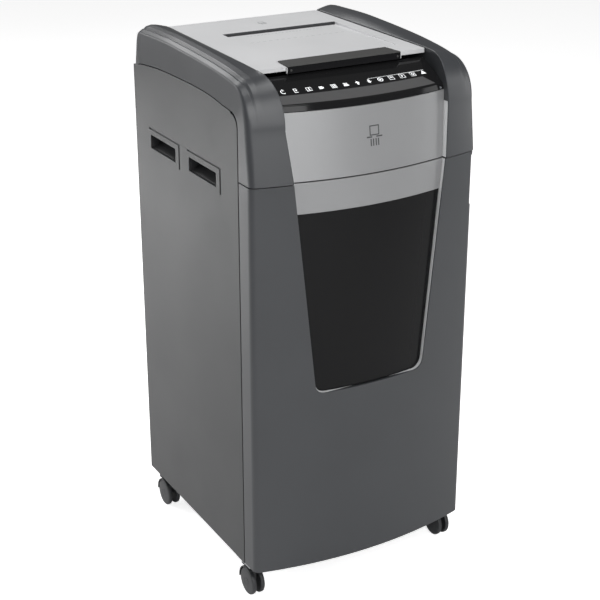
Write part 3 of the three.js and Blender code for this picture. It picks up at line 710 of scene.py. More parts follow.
def insert_outline(gap):
    """The tapered opening in the door, in x and z, with two rounded lower corners."""
    foot, top = insert_half(WINDOW_FOOT) + gap, insert_half(DOOR_TOP + 4) + gap
    z = WINDOW_FOOT - gap
    return rounded([(-foot, z, 22), (foot, z, 22), (top, DOOR_TOP + 4, 0), (-top, DOOR_TOP + 4, 0)], 10)


# %% Cut and round the door
door = plate("door_skin", front_plan(0.0, SEAM_Y - 2.0), "z", DOOR_FOOT, DOOR_TOP)
hollow = plate("hollow", front_plan(4.0, SEAM_Y + 30.0), "z", DOOR_FOOT + 4, DOOR_TOP - 4)
combine(hollow, block("grip_block", 190, 220, -215, -100, 658, 800))
combine(hollow, block("lug_block", -220, -198, -184, -100, 0, 800))
combine(door, hollow)
combine(door, plate("opening", insert_outline(1.0), "y", -270, -185))
scoop = lathe("scoop", [(0, 0), (17, 0), (17, 90), (0, 90)], (222, -197, 672), "z", 64)
combine(door, scoop)
soften(door, 1.7)
dress(door, SHELL_DARK, "door", "shell_dark", "door_panel")

# %% Window, trim and fascia are bowed sheets


def bowed_sheet(name, levels, thickness, columns=28):
    """A sheet that follows the insert's bow; levels are (z, half width, how far set back)."""
    sections = []
    for z, half, back in levels:
        xs = [half * (2 * i / columns - 1) for i in range(columns + 1)]
        near = [(x, insert_bow(x) + back, z) for x in xs]
        far = [(x, insert_bow(x) + back + thickness, z) for x in reversed(xs)]
        sections.append(near + far)
    return skin(name, sections)


def window_levels():
    r = 20.0
    foot = insert_half(WINDOW_FOOT + r)
    turns = [math.pi / 2 * i / 8 for i in range(9)]
    low = [(WINDOW_FOOT + r - r * math.cos(a), foot - r + r * math.sin(a)) for a in turns]
    high = [WINDOW_FOOT + r + (TRIM_FOOT - WINDOW_FOOT - r) * i / 6 for i in range(1, 7)]
    return [(z, w - 0.5, 0.6) for z, w in low] + [(z, insert_half(z) - 0.5, 0.6) for z in high]


window = soften(bowed_sheet("window_sheet", window_levels(), 3.0), 0.5, 2, angle=50.0)
dress(window, SMOKED, "door", "window_black", "door_window")

trim_levels = [(z, insert_half(z) - 0.4, 0.0) for z in (TRIM_FOOT + 0.3, DOOR_TOP)]
trim = soften(bowed_sheet("trim_sheet", trim_levels, 3.5), 0.7, 2)
dress(trim, SILVER, "door", "silver", "door_trim")

fascia_levels = [(z, insert_half(z) - 0.4, fascia_lean(z)) for z in (HEAD_FOOT, FASCIA_TOP)]
fascia = soften(bowed_sheet("fascia_sheet", fascia_levels, 3.5), 0.7, 2)
dress(fascia, SILVER, "cabinet", "silver", "head_fascia")

liner_levels = [(z, insert_half(z) + 14.0, 6.0) for z in (WINDOW_FOOT - 12, DOOR_TOP - 1.0)]
liner = soften(bowed_sheet("door_liner", liner_levels, 2.0), 0.4, 2)
dress(liner, INNER, "door", "shell_dark")

# %% [markdown]
# ## The silver rim
# The insert lies a few millimetres behind the door's face. A thin silver rim lines that step all the
# way round; its pale paint is a painted highlight that draws a bright line along the right-hand
# edge. It is a small rectangular section carried along the outline of the opening, once for the
# door and once for each pillar.

# %% Carry a small section along the step
RIM = (0.25, 0.95)
RIM_INSET = 2.6


def rim_section(inner, outer, lean=0.0, top_lean=0.0):
    """Four corners across the rim, between two outlines, from inside the step back to the insert."""
    (xi, zi), (xo, zo) = inner, outer
    return [
        (xo, bow(xo) + top_lean + RIM_INSET, zo), (xi, bow(xi) + top_lean + RIM_INSET, zi),
        (xi, insert_bow(xi) + lean + RIM_INSET, zi), (xo, insert_bow(xo) + lean + RIM_INSET, zo),
    ]


def rim_path(gap):
    """The opening's outline, open at the top, from the left pillar round to the right one."""
    foot, top = insert_half(WINDOW_FOOT) + gap, insert_half(DOOR_TOP) + gap
    low, high = WINDOW_FOOT - gap, DOOR_TOP - 0.4
    return rounded([(-top, high, 0), (-foot, low, 22), (foot, low, 22), (top, high, 0)], 10)


door_rim = skin("door_rim", [rim_section(a, b) for a, b in zip(rim_path(RIM[0]), rim_path(RIM[1]))])
dress(shade(door_rim, 40.0), RIM_HIGHLIGHT_PAINT, "door", "silver")

head_rims = []
for side in (-1, 1):
    sections = []
    for i in range(9):
        z = HEAD_FOOT + 0.6 + (FASCIA_TOP - 1.0 - HEAD_FOOT) * i / 8
        inner, outer = ((side * (insert_half(z) + gap), z) for gap in RIM)
        sections.append(rim_section(inner, outer, fascia_lean(z), head_lean(z)))
    head_rims.append(skin("head_rim", sections))
dress(shade(joined("head_rims", head_rims), 40.0), RIM_HIGHLIGHT_PAINT, "cabinet", "silver")

# %% [markdown]
# ## The control panel
# The glossy panel slopes forward from under the lid and folds over a bowed nose, down to the
# silver fascia. It is lofted from side to side. A UV map stores how far across and how far down
# the slope each point lies, so that a satin band of painted reflection, lighter grey with a slanted
# end, can be drawn along the nose in the material, whatever the curve does.

# %% Loft the panel
PANEL_BACK = (LID_FRONT + 1.0, 921.0)
PANEL_HALF = insert_half(FASCIA_TOP) + 1.5


def panel_nose(x):
    return insert_bow(x) + LEAN


def panel_section(x):
    nose = panel_nose(x)
    corners = [
        (*PANEL_BACK, 0), (nose + 5.0, 890.0, 5.0), (nose, FASCIA_TOP + 0.5, 0.6),
        (nose + 3.5, FASCIA_TOP + 0.5, 0), (nose + 9.0, 884.0, 0), (PANEL_BACK[0], 916.0, 0),
    ]
    return [(x, y, z) for y, z in rounded(corners)]


columns = [PANEL_HALF * (2 * i / 48 - 1) for i in range(49)]
panel = skin("control_panel_skin", [panel_section(x) for x in columns])
shade(panel, 40.0)


def lay_uv(piece, name, place):
    """A UV map whose values are a function of each point, in millimetres."""
    layer = piece.data.uv_layers.new(name=name)
    for loop in piece.data.loops:
        layer.data[loop.index].uv = place(piece.data.vertices[loop.vertex_index].co / MM)


def panel_place(p):
    nose = panel_nose(p.x) + 5.0
    return (p.x / PANEL_HALF, (PANEL_BACK[0] - p.y) / (PANEL_BACK[0] - nose))


lay_uv(panel, "slope", panel_place)
print("the panel is", round(2 * PANEL_HALF), "mm wide")

# %% A gloss finish with a satin band of painted reflection


def step(tree, value, edge, width):
    """0 below the edge and 1 above it, with a soft change of the given width."""
    sockets = {"Value": value, "From Min": edge - width, "From Max": edge + width}
    return add_node(tree, "ShaderNodeMapRange", sockets).outputs[0]


def times(tree, a, b):
    return add_node(tree, "ShaderNodeMath", {0: a, 1: b}, operation="MULTIPLY").outputs[0]


def short_of(tree, value, edge, width):
    """The reverse of step: 1 below the edge and 0 above it."""
    sockets = {0: 1.0, 1: step(tree, value, edge, width)}
    return add_node(tree, "ShaderNodeMath", sockets, operation="SUBTRACT").outputs[0]


PANEL, tree, shader = new_material("gloss panel with painted reflection band", IOR=1.3)
uv = add_node(tree, "ShaderNodeUVMap", uv_map="slope")
split = add_node(tree, "ShaderNodeSeparateXYZ", {"Vector": uv.outputs[0]})
across, down = split.outputs["X"], split.outputs["Y"]
slant = add_node(tree, "ShaderNodeMath", {0: down, 1: -0.30, 2: across}, operation="MULTIPLY_ADD")
over_nose = times(tree, step(tree, down, 0.66, 0.008), short_of(tree, down, 0.955, 0.01))
reflection_band = times(tree, over_nose, short_of(tree, slant.outputs[0], 0.60, 0.004))
marks = effect(tree, MARKS, Size_mm=40.0, Amount=0.6)
# Painted reflection: the band along the nose is lighter grey and ends on a slant; its higher roughness is a
# real satin finish.
tone = add_node(tree, "ShaderNodeMix", {"Factor": reflection_band}, data_type="RGBA")
tone.inputs[6].default_value = (0.010, 0.010, 0.0105, 1.0)
tone.inputs[7].default_value = (0.085, 0.085, 0.086, 1.0)
tree.links.new(tone.outputs[2], shader.inputs["Base Color"])
rough = add_node(tree, "ShaderNodeMapRange", {"Value": reflection_band, "To Min": 0.09, "To Max": 0.28})
sockets = {0: marks.outputs["Mask"], 1: 0.12, 2: rough.outputs[0]}
dull = add_node(tree, "ShaderNodeMath", sockets, operation="MULTIPLY_ADD")
tree.links.new(dull.outputs[0], shader.inputs["Roughness"])
dress(panel, PANEL, "cabinet", "gloss_black", "control_panel")

# %% [markdown]
# ## The row of symbols
# Thirteen small white symbols tell the user what the machine is doing. They are plain generic
# shapes: a ring, arrows, sheets, a bin, bars. Each is a list of strokes and filled shapes drawn
# in a ten-millimetre square, and a helper lays them on the slope of the panel as a print that
# stands a tenth of a millimetre proud. The print glows faintly, which is painted light.

# %% Draw with strokes


def stroke(points, width=0.9):
    """Quads along a line of points."""
    shapes = []
    for a, b in zip(points, points[1:]):
        a, b = Vector(a), Vector(b)
        along = (b - a).normalized() * width / 2
        side = Vector((-along.y, along.x))
        shapes.append([a - along + side, a - along - side, b + along - side, b + along + side])
    return shapes


def frame_of(x0, y0, x1, y1, width=0.8):
    return stroke([(x0, y0), (x1, y0), (x1, y1), (x0, y1), (x0, y0)], width)


def ring(r, start=0, stop=360, width=0.9, steps=20):
    return stroke(arc(0, 0, r, start, stop, steps), width)


def bar(x0, y0, x1, y1, width):
    return stroke([(x0, y0), (x1, y1)], width)


SYMBOLS = [
    ring(3.4, 120, 420) + bar(0, 1.5, 0, 4.6, 1.0),
    frame_of(-3.2, -3.6, 3.2, 3.6) + [[(-1.6, 1.8), (0, -1.8), (1.6, 1.8)]],
    frame_of(-3.6, -3.4, 3.6, 3.4) + bar(0, -2, 0, 2, 1.4),
    [[(-3.6, -2.6), (1.0, -2.6), (3.6, 0), (1.0, 2.6), (-3.6, 2.6)]],
    frame_of(-3.2, -3.4, 3.2, 3.4) + bar(-1, -2, -1, 2, 1.2) + bar(1.2, -2, 1.2, 2, 1.2),
    [[(-4, -3), (4, -3), (2.6, 1.2), (-2.6, 1.2)]] + bar(-2.6, 2.6, 2.6, 2.6, 1.2),
    [[(-3.4, 0.4), (0, 3.8), (3.4, 0.4)], [(-1.4, 0.4), (1.4, 0.4), (1.4, -3.6), (-1.4, -3.6)]],
    [[(-3.4, -0.4), (3.4, -0.4), (0, -3.8)], [(-1.4, -0.4), (-1.4, 3.6), (1.4, 3.6), (1.4, -0.4)]],
    ring(3.6) + [[(-1.4, -2.0), (2.2, 0), (-1.4, 2.0)]],
    frame_of(-3.4, -3.8, 3.4, 3.8, 0.6) + bar(-1.6, 1.6, 1.6, 1.6, 0.7) + bar(-1.6, 0, 1.6, 0, 0.7),
    frame_of(-3.8, -3.8, 3.8, 3.8, 0.6) + [[(-1.2, -2.2), (1.6, 0), (-1.2, 2.2)]],
    frame_of(-3.8, -3.8, 3.8, 3.8, 0.6) + ring(1.8, width=0.8, steps=12),
    [[(-4, -3.2), (4, -3.2), (0, 3.8)]],
]


def printed(name, shapes, place, proud=0.12):
    """Closed thin prints from flat shapes; place puts (u, v, height) into the frame."""
    points, faces = [], []
    for shape in shapes:
        n, first = len(shape), len(points)
        points += [place(u, v, 0.0) for u, v in shape]
        points += [place(u, v, proud) for u, v in shape]
        for i in range(n):
            a, b = first + i, first + (i + 1) % n
            faces.append([a, b, b + n, a + n])
        faces += [list(range(first + n, first + 2 * n)), list(range(first + n - 1, first - 1, -1))]
    return make(name, points, faces)


def on_slope(x0, share, size=1.0, lift=0.05):
    """A place on the panel: x0 across, share of the way down the slope."""
    nose = (panel_nose(x0) + 5.0, 890.0)
    back = Vector(PANEL_BACK)
    up = (back - Vector(nose)).normalized()
    base = back.lerp(Vector(nose), share)

    def place(u, v, height):
        y = base.x + up.x * v * size - up.y * (height + lift)
        z = base.y + up.y * v * size + up.x * (height + lift)
        return (x0 + u * size, y, z)

    return place


# %% Lay the symbols on the panel
SYMBOL_SIZE = 1.25
SYMBOL_X = [-132.0 + 22.0 * i for i in range(13)]
prints = []
for x, shapes in zip(SYMBOL_X, SYMBOLS):
    prints.append(printed("symbol", shapes, on_slope(x, 0.53, SYMBOL_SIZE)))
for x in range(26, 136, 4):
    prints.append(printed("line", stroke([(-2.2, 0), (2.2, 0)], 0.45), on_slope(x, 0.45)))
symbols = joined("panel_symbols", prints)
dress(symbols, GLOWING_PRINT, "cabinet", "led_white")

# %% [markdown]
# ## The lid and its tab
# The lid is a silver plate that is hinged at the back. It carries a shallow ramp that guides
# single sheets into the manual slot, so it is cut from a tapered plate. A dark tab hangs over
# its front edge as the handle: grey on top, black in front, with a small pivot at its end.

# %% Cut the lid
lid_plan = rounded([
    (-159.5, LID_FRONT, 4), (159.5, LID_FRONT, 4), (152, LID_REAR, 5), (-152, LID_REAR, 5),
])
lid = plate("lid_plate", lid_plan, "z", 900, 960)
thickness = [(LID_FRONT - 9, 928), (LID_REAR + 9, 933.1), (LID_REAR + 9, 940.1), (LID_FRONT - 9, 934.9)]
combine(lid, plate("thickness", thickness, "x", -200, 200), "INTERSECT")
SLOT = box_mm("slot_guide")
SLOT_X = (SLOT[0][0] + 3.0, SLOT[1][0] - 3.0)
SLOT_Y = (SLOT[0][1] + 4.0, SLOT[1][1] - 4.0)
ramp = [(SLOT_Y[1], 934.3), (SLOT_Y[1], 950), (-85, 950), (-85, 934.75)]
combine(lid, plate("ramp", ramp, "x", *SLOT_X))
combine(lid, block("slot", *SLOT_X, *SLOT_Y, 900, 960, r=2.6))
combine(lid, block("tab_seat", -108, 108, LID_FRONT - 5, -92.5, 933.8, 950))
soften(lid, 1.0)
wear(lid, LID_PAINT_WITH_PAINTED_LIGHT)
lid.data.materials.append(INNER)
# Painted shade: the walls inside the slot's mouth take the dark inner grey, so the slot reads as a dark
# line.
for face in lid.data.polygons:
    x, y, z = face.center / MM
    dark_slot_walls = SLOT_Y[0] - 0.4 < y < SLOT_Y[1] + 0.4 and SLOT_X[0] - 1 < x < SLOT_X[1] + 1
    if dark_slot_walls and z < 938.0 and abs(face.normal.z) < 0.8:
        face.material_index = 1
dress(lid, None, "lid", "silver", "feed_lid")

# %% The tab, its end caps and pivots
tab_side = [
    (-134.5, 923.6, 0.6), (-130.6, 923.6, 0.6), (-130.6, 934.2, 0), (-93, 934.2, 0), (-93, 936.5, 0.8),
    (-134.5, 936.5, 1.4),
]
tab = plate("lid_handle", rounded(tab_side, 4), "x", -110, 110)
tab_plan = plate("tab_plan", [(-107, -136), (107, -136), (102, -92), (-102, -92)], "z", 900, 960)
combine(tab, tab_plan, "INTERSECT")
shade(tab, 30.0)
wear(tab, TAB_GREY)
tab.data.materials.append(GLOSS)
for face in tab.data.polygons:
    if face.center.z / MM < 935.3 and face.center.y / MM < -130:
        face.material_index = 1
caps, pivots = [], []
for side in (-1, 1):
    x = side * 107.9
    end = rounded([(-134.2, 924, 0.8), (-130.8, 924, 0.4), (-130.8, 933.6, 0.4), (-134.2, 933.6, 0.8)], 3)
    caps.append(plate("end_cap", end, "x", x - 0.5, x + 0.5))
    stud = [(0, -0.6), (1.6, -0.6), (1.9, -0.2), (1.9, 0.3), (0, 0.3)]
    pivots.append(lathe("pivot", stud, (side * 101, -134.8, 929), "y"))
dress(tab, None, "lid", "shell_dark", "lid_tab")
dress(shade(joined("tab_end_caps", caps)), LID_PAINT_WITH_PAINTED_LIGHT, "lid", "silver")
dress(shade(joined("tab_pivots", pivots)), TAB_GREY, "lid", "shell_dark")

# %% [markdown]
# ## Repeats with Geometry Nodes
# Whatever repeats is made by a small Geometry Nodes tree: guide dashes on the lid, slats of the
# vent, knives on the cutter shafts, screws on the back. Each tree has named inputs for its
# sizes, ends by realizing its instances and setting its material, and is then turned into a
# plain mesh, because an exported model keeps meshes and not node trees.

# %% Helpers for the trees


def new_tree(name, inputs):
    """An empty Geometry Nodes tree; inputs are (label, kind, value)."""
    tree = bpy.data.node_groups.new(name, "GeometryNodeTree")
    tree.interface.new_socket("Geometry", in_out="OUTPUT", socket_type="NodeSocketGeometry")
    for label, kind, value in inputs:
        socket = tree.interface.new_socket(label, in_out="INPUT", socket_type="NodeSocket" + kind)
        if value is not None:
            socket.default_value = value
    return tree, tree.nodes.new("NodeGroupInput").outputs


def close_tree(tree, geometry, material):
    """Realize Instances, Set Material, output."""
    real = add_node(tree, "GeometryNodeRealizeInstances", {"Geometry": geometry})
    painted = add_node(tree, "GeometryNodeSetMaterial", {"Geometry": real.outputs[0], "Material": material})
    tree.links.new(painted.outputs[0], tree.nodes.new("NodeGroupOutput").inputs[0])


def grow(name, tree, **values):
    """Runs a tree with its inputs set by identifier and returns the plain mesh as an object."""
    piece = bpy.data.objects.new(name, bpy.data.meshes.new(name))
    bpy.context.scene.collection.objects.link(piece)
    modifier = piece.modifiers.new("repeat", "NODES")
    modifier.node_group = tree
    wanted = {key.replace("_", " "): value for key, value in values.items()}
    for socket in tree.interface.items_tree:
        if socket.item_type == "SOCKET" and socket.in_out == "INPUT" and socket.name in wanted:
            modifier[socket.identifier] = wanted[socket.name]
    bake(piece)
    print(name, "grew", len(piece.data.polygons), "faces")
    return piece


def line_of(tree, count, start, step):
    sockets = {"Count": count, "Start Location": start, "Offset": step}
    return add_node(tree, "GeometryNodeMeshLine", sockets).outputs[0]


def rounded_bar(tree, width, height, corner, start, end):
    """A bar with a rounded section, from start to end."""
    section = add_node(tree, "GeometryNodeCurvePrimitiveQuadrilateral", {"Width": width, "Height": height})
    fillet = add_node(tree, "GeometryNodeFilletCurve", {0: section.outputs[0]}, mode="POLY")
    fillet.inputs["Count"].default_value = 3
    tree.links.new(corner, fillet.inputs["Radius"])
    path = add_node(tree, "GeometryNodeCurvePrimitiveLine", {"Start": start, "End": end})
    pulled = add_node(tree, "GeometryNodeCurveToMesh", {0: path.outputs[0], 1: fillet.outputs[0]})
    pulled.inputs["Fill Caps"].default_value = True
    return pulled.outputs[0]


def place_copies(tree, points, instance, rotation=None):
    node = add_node(tree, "GeometryNodeInstanceOnPoints", {"Points": points, "Instance": instance})
    if rotation is not None:
        tree.links.new(rotation, node.inputs["Rotation"])
    return node.outputs[0]


# %% Guide dashes beside the slot
DASHES, given = new_tree("guide dashes", [
    ("Count", "Int", 30), ("First", "Vector", None), ("Step", "Vector", None), ("Length", "Float", 4 * MM),
    ("Width", "Float", MM), ("Corner", "Float", 0.2 * MM), ("Material", "Material", None),
])
ends = []
for share in (-0.5, 0.5):
    x = times(DASHES, given["Length"], share)
    ends.append(add_node(DASHES, "ShaderNodeCombineXYZ", {"X": x}).outputs[0])
dash = rounded_bar(DASHES, given["Width"], given["Width"], given["Corner"], *ends)
points = line_of(DASHES, given["Count"], given["First"], given["Step"])
close_tree(DASHES, place_copies(DASHES, points, dash), given["Material"])


def ramp_z(y):
    """Height of the ramp's surface at depth y."""
    return 934.75 - 0.45 * (y + 85.0) / (SLOT_Y[1] + 85.0)


dashes = []
for y, count, length, pitch in ((100.0, 22, 4.2, 7.0), (52.0, 16, 6.0, 12.0)):
    middle = (SLOT_X[0] + SLOT_X[1]) / 2
    first = ((middle - pitch * (count - 1) / 2) * MM, y * MM, (ramp_z(y) - 0.25) * MM)
    dashes.append(grow(
        "dashes", DASHES, Count=count, First=first, Step=(pitch * MM, 0, 0), Length=length * MM,
        Width=0.8 * MM, Material=SOFT_PRINT,
    ))
guide = joined("feed_guide_marks", dashes)
dress(guide, SOFT_PRINT, "lid", "silver")

# %% A plain pictogram on the fascia and one on the lid
# A sheet going into strips says what the machine does, in generic shapes.


def shred_picture():
    sheet = frame_of(-6, 2.2, 6, 13, 1.3) + stroke([(-10, 0), (10, 0)], 1.6)
    return sheet + [shape for x in (-5.2, -1.8, 1.8, 5.2) for shape in stroke([(x, -3), (x, -10)], 1.5)]


def on_fascia(u, v, height):
    x, z = 1.35 * u + 2.0, 828.0 + 1.35 * v
    return (x, insert_bow(x) + fascia_lean(z) - height - 0.03, z)


def on_lid(u, v, height):
    x, y = u * 0.8 + 10, 168 + v * 0.8
    return (x, y, lid_top(y) + height)


dress(printed("fascia_pictogram", shred_picture(), on_fascia), DARK_PRINT, "cabinet", "shell_dark")
dress(printed("lid_pictogram", shred_picture(), on_lid), SOFT_PRINT, "lid", "silver")

# %% The vent's slats
SLATS, given = new_tree("vent slats", [
    ("Count", "Int", 9), ("First", "Vector", None), ("Step", "Vector", None), ("Left", "Vector", None),
    ("Right", "Vector", None), ("Width", "Float", 7 * MM), ("Thickness", "Float", 1.6 * MM),
    ("Corner", "Float", 0.6 * MM), ("Tilt", "Vector", None), ("Material", "Material", None),
])
sizes = [given[label] for label in ("Width", "Thickness", "Corner", "Left", "Right")]
slat = rounded_bar(SLATS, *sizes)
points = line_of(SLATS, given["Count"], given["First"], given["Step"])
close_tree(SLATS, place_copies(SLATS, points, slat, given["Tilt"]), given["Material"])

VENT_LOW, VENT_HIGH = box_mm("rear_vent")
slats = grow(
    "vent_slats", SLATS, Count=8, First=(0, (BACK - 3.2) * MM, (VENT_LOW[2] + 6.4) * MM),
    Step=(0, 0, 8.2 * MM), Left=((VENT_LOW[0] + 3) * MM, 0, 0), Right=((VENT_HIGH[0] - 3) * MM, 0, 0),
    Width=1.8 * MM, Thickness=8.0 * MM, Corner=0.6 * MM, Tilt=(math.radians(-36), 0, 0), Material=INNER,
)


def ring_plate(name, outer, inner, axis, low, high, r):
    """A frame between two rectangles (a0, b0, a1, b1) with rounded corners."""
    made = []
    for corners, pad in ((outer, 0), (inner, 5)):
        made.append(plate(name, rectangle(*corners, r), axis, low - pad, high + pad))
    return soften(combine(made[0], made[1]), 0.5, 2)


outer = (VENT_LOW[0], VENT_LOW[2], VENT_HIGH[0], VENT_HIGH[2])
inner = (VENT_LOW[0] + 4, VENT_LOW[2] + 4, VENT_HIGH[0] - 4, VENT_HIGH[2] - 4)
vent_frame = wear(ring_plate("vent_frame", outer, inner, "y", BACK - 4.5, BACK - 0.2, 3.0), INNER)
vent = joined("vent_grille", [vent_frame, slats])
dress(vent, None, "cabinet", "inner_grey", "rear_vent")

# %% [markdown]
# ## Screws on the back
# Countersunk cross-head screws hold the rear panel. One screw is turned on a lathe, its cross is
# cut with a Boolean, and a tree sets it on every point of a grid of places.

# %% One screw, then a row on each side
screw = lathe("screw", [(0, 0), (3.6, 0), (3.4, 0.9), (2.0, 1.5), (0, 1.7)], (0, 0, 0), "y", 24)
for turn in ((2.4, 0.5), (0.5, 2.4)):
    combine(screw, block("cross", -turn[0], turn[0], 0.7, 3.0, -turn[1], turn[1]))
shade(screw, 35.0)
screw.hide_render = True

SCREWS, given = new_tree("screw row", [
    ("Source", "Object", None), ("Count", "Int", 4), ("First", "Vector", None), ("Step", "Vector", None),
    ("Material", "Material", None),
])
source = add_node(SCREWS, "GeometryNodeObjectInfo", {"Object": given["Source"]})
points = line_of(SCREWS, given["Count"], given["First"], given["Step"])
close_tree(SCREWS, place_copies(SCREWS, points, source.outputs["Geometry"]), given["Material"])
rows = []
for x in (-202.0, 202.0):
    rows.append(grow(
        "screws", SCREWS, Source=screw, Count=5, First=(x * MM, (BACK - 0.9) * MM, 0.09),
        Step=(0, 0, 0.19), Material=ZINC,
    ))
bpy.data.objects.remove(screw)
dress(joined("rear_screws", rows), ZINC, "cabinet", "steel")

# %% [markdown]
# ## The cutters
# A cross-cut shredder has two shafts of narrow toothed knives that pass between each other.
# The star-shaped knife is a filled and thickened curve. A tree sets the knives along the shaft,
# and turns each one a little further than the last, so that the teeth run in a helix and bite
# one after another.

# %% Knives on a shaft
KNIVES, given = new_tree("cutter knives", [
    ("Count", "Int", 24), ("First", "Vector", None), ("Step", "Vector", None), ("Teeth", "Int", 9),
    ("Tip", "Float", 26 * MM), ("Root", "Float", 22.5 * MM), ("Thickness", "Float", 4 * MM),
    ("Twist", "Float", 0.2), ("Material", "Material", None),
])
sockets = {"Points": given["Teeth"], "Inner Radius": given["Root"], "Outer Radius": given["Tip"]}
star = add_node(KNIVES, "GeometryNodeCurveStar", {**sockets, "Twist": 0.16})
blade = add_node(KNIVES, "GeometryNodeFillCurve", {0: star.outputs[0]}, mode="NGONS")
sockets = {"Mesh": blade.outputs[0], "Offset Scale": given["Thickness"]}
thick = add_node(KNIVES, "GeometryNodeExtrudeMesh", sockets)
thick.inputs["Individual"].default_value = False
both = add_node(KNIVES, "GeometryNodeJoinGeometry")
back_face = add_node(KNIVES, "GeometryNodeFlipFaces", {"Mesh": blade.outputs[0]})
for part in (thick.outputs[0], back_face.outputs[0]):
    KNIVES.links.new(part, both.inputs[0])
sockets = {"Geometry": both.outputs[0], "Rotation": (0, math.pi / 2, 0)}
upright = add_node(KNIVES, "GeometryNodeTransform", sockets)
index = add_node(KNIVES, "GeometryNodeInputIndex")
turn = add_node(KNIVES, "ShaderNodeMath", {0: index.outputs[0], 1: given["Twist"]}, operation="MULTIPLY")
angle = add_node(KNIVES, "ShaderNodeCombineXYZ", {"X": turn.outputs[0]})
points = line_of(KNIVES, given["Count"], given["First"], given["Step"])
copies = place_copies(KNIVES, points, upright.outputs[0], angle.outputs[0])
close_tree(KNIVES, copies, given["Material"])


def cutter(name, node, body, shift, twist):
    """A turned shaft with its knives; the other cutter's knives stand half a step along."""
    low, high = box_mm(node)
    centre = (0.0, (low[1] + high[1]) / 2, (low[2] + high[2]) / 2)
    knives = grow(
        name, KNIVES, Count=23, First=((-138 + shift) * MM, centre[1] * MM, centre[2] * MM),
        Step=(12 * MM, 0, 0), Thickness=5.0 * MM, Twist=twist, Material=STEEL,
    )
    profile = [
        (0, low[0]), (7, low[0]), (8, low[0] + 1), (8, -141), (17, -140),
        (17, 140), (8, 141), (8, high[0] - 1), (7, high[0]), (0, high[0]),
    ]
    shaft = lathe("shaft", profile, centre, "x", 32)
    shaft = wear(shade(shaft), STEEL)
    return dress(joined(name, [knives, shaft]), None, body, "steel", node)


cutter("front_cutter", "cutter_front", "cutter_a", 0.0, 0.21)
cutter("rear_cutter", "cutter_rear", "cutter_b", 6.0, -0.21)

# %% [markdown]
# ## Casters
# Each caster is a pair of hard nylon wheels under a hood, on a steel stem that swivels. The
# wheels are turned on a lathe with a rounded tread and a hub cap. The hood is a curved sheet
# that follows the wheels at a constant distance.

# %% A pair of wheels
WHEEL_R = 25.0


def wheel_profile(side):
    """Radius and place along the axle of one wheel, from the gap outwards."""
    tread = WHEEL_R / math.cos(math.pi / 48)
    points = [
        (0, 4.0), (tread - 3.2, 4.0), (tread - 1.2, 4.5), (tread - 0.2, 5.8), (tread, 7.2), (tread, 9.4),
        (tread - 0.3, 10.8), (tread - 1.4, 11.8), (tread - 4.0, 12.3), (15.0, 12.7), (8.2, 12.9),
        (7.8, 12.6), (7.2, 12.6), (6.8, 12.9), (3.0, 13.0), (0, 13.0),
    ]
    return [(r, side * along) for r, along in points]


def caster_wheels(corner):
    low, high = box_mm(f"wheel_outer_{corner}")
    other = box_mm(f"wheel_inner_{corner}")
    x = (max(high[0], other[1][0]) + min(low[0], other[0][0])) / 2
    centre = (x, (low[1] + high[1]) / 2, WHEEL_R)
    wheels = [lathe("wheel", wheel_profile(s), centre) for s in (-1, 1)]
    wheels.append(lathe("axle", [(0, -5), (2.4, -5), (2.4, 5), (0, 5)], centre, "x", 16))
    pair = shade(joined(f"caster_wheels_{corner}", wheels), 32.0)
    nodes = (f"wheel_outer_{corner}", f"wheel_inner_{corner}")
    dress(pair, WHEEL, f"wheels_{corner}", "wheel_rubber", *nodes)
    return centre


def caster_hood(corner, centre):
    """The hood, web, collar and stem above a pair of wheels."""
    x, axle_y, axle_z = centre
    low, high = box_mm(f"caster_housing_{corner}")
    stem_y = high[1] - 11.0
    sections = []
    section = rounded([(-12.8, 26.2, 0.5), (12.8, 26.2, 0.5), (12.8, 28.4, 1.1), (-12.8, 28.4, 1.1)], 3)
    for i in range(25):
        a = math.radians(-6 + 122 * i / 24)
        sections.append([(x + u, axle_y + r * math.cos(a), axle_z + r * math.sin(a)) for u, r in section])
    web = rounded([
        (axle_y - 8, axle_z - 2, 5), (axle_y + 8, axle_z - 4, 5), (axle_y + 27, axle_z + 2, 2),
        (axle_y + 20, axle_z + 25, 6), (axle_y - 4, axle_z + 27, 4), (axle_y - 9, axle_z + 10, 3),
    ])
    collar = [(0, 50), (10, 50), (11, 51.5), (11, 56.4), (10.4, 57), (0, 57)]
    parts = [
        skin("hood", sections),
        plate("web", web, "x", x - 3.2, x + 3.2),
        lathe("collar", collar, (x, stem_y, 0), "z", 32),
    ]
    hood = soften(joined(f"caster_hood_{corner}", parts), 0.4, 2)
    dress(hood, HOUSING, f"caster_{corner}", "caster_grey", f"caster_housing_{corner}")
    stem = lathe("stem", [(0, 56), (5, 56), (5, 63), (4.6, 63.4), (0, 63.4)], (x, stem_y, 0), "z", 24)
    stem.name = f"caster_stem_{corner}"
    dress(shade(stem), ZINC, f"caster_{corner}", "steel")


for corner in ("front_left", "front_right", "rear_left", "rear_right"):
    caster_hood(corner, caster_wheels(corner))

# %% [markdown]
# ## The waste bin
# The bin stands behind the door and is pulled out by hand. It is a thin tub with rounded
# corners, an open top and a finger hole in front.

# %% Hollow the bin
BIN_LOW, BIN_HIGH = box_mm("waste_bin")
(x0, y0, z0), (x1, y1, z1) = BIN_LOW, BIN_HIGH
tub = block("bin_tub", x0, x1, y0, y1, z0, z1, r=16)
combine(tub, block("inside", x0 + 3, x1 - 3, y0 + 3, y1 - 3, z0 + 3, z1 + 9, r=13))
combine(tub, plate("finger_hole", rectangle(-50, 600, 50, 632, 12), "y", y0 - 9, y0 + 12))
soften(tub, 1.2, 2)
dress(tub, BIN, "cabinet", "inner_grey", "waste_bin")

# %% [markdown]
# ## Connections on the back
# The inlet has three flat earth and power pins inside its shroud, and the rocker switch carries
# the plain bar and ring that mean on and off.

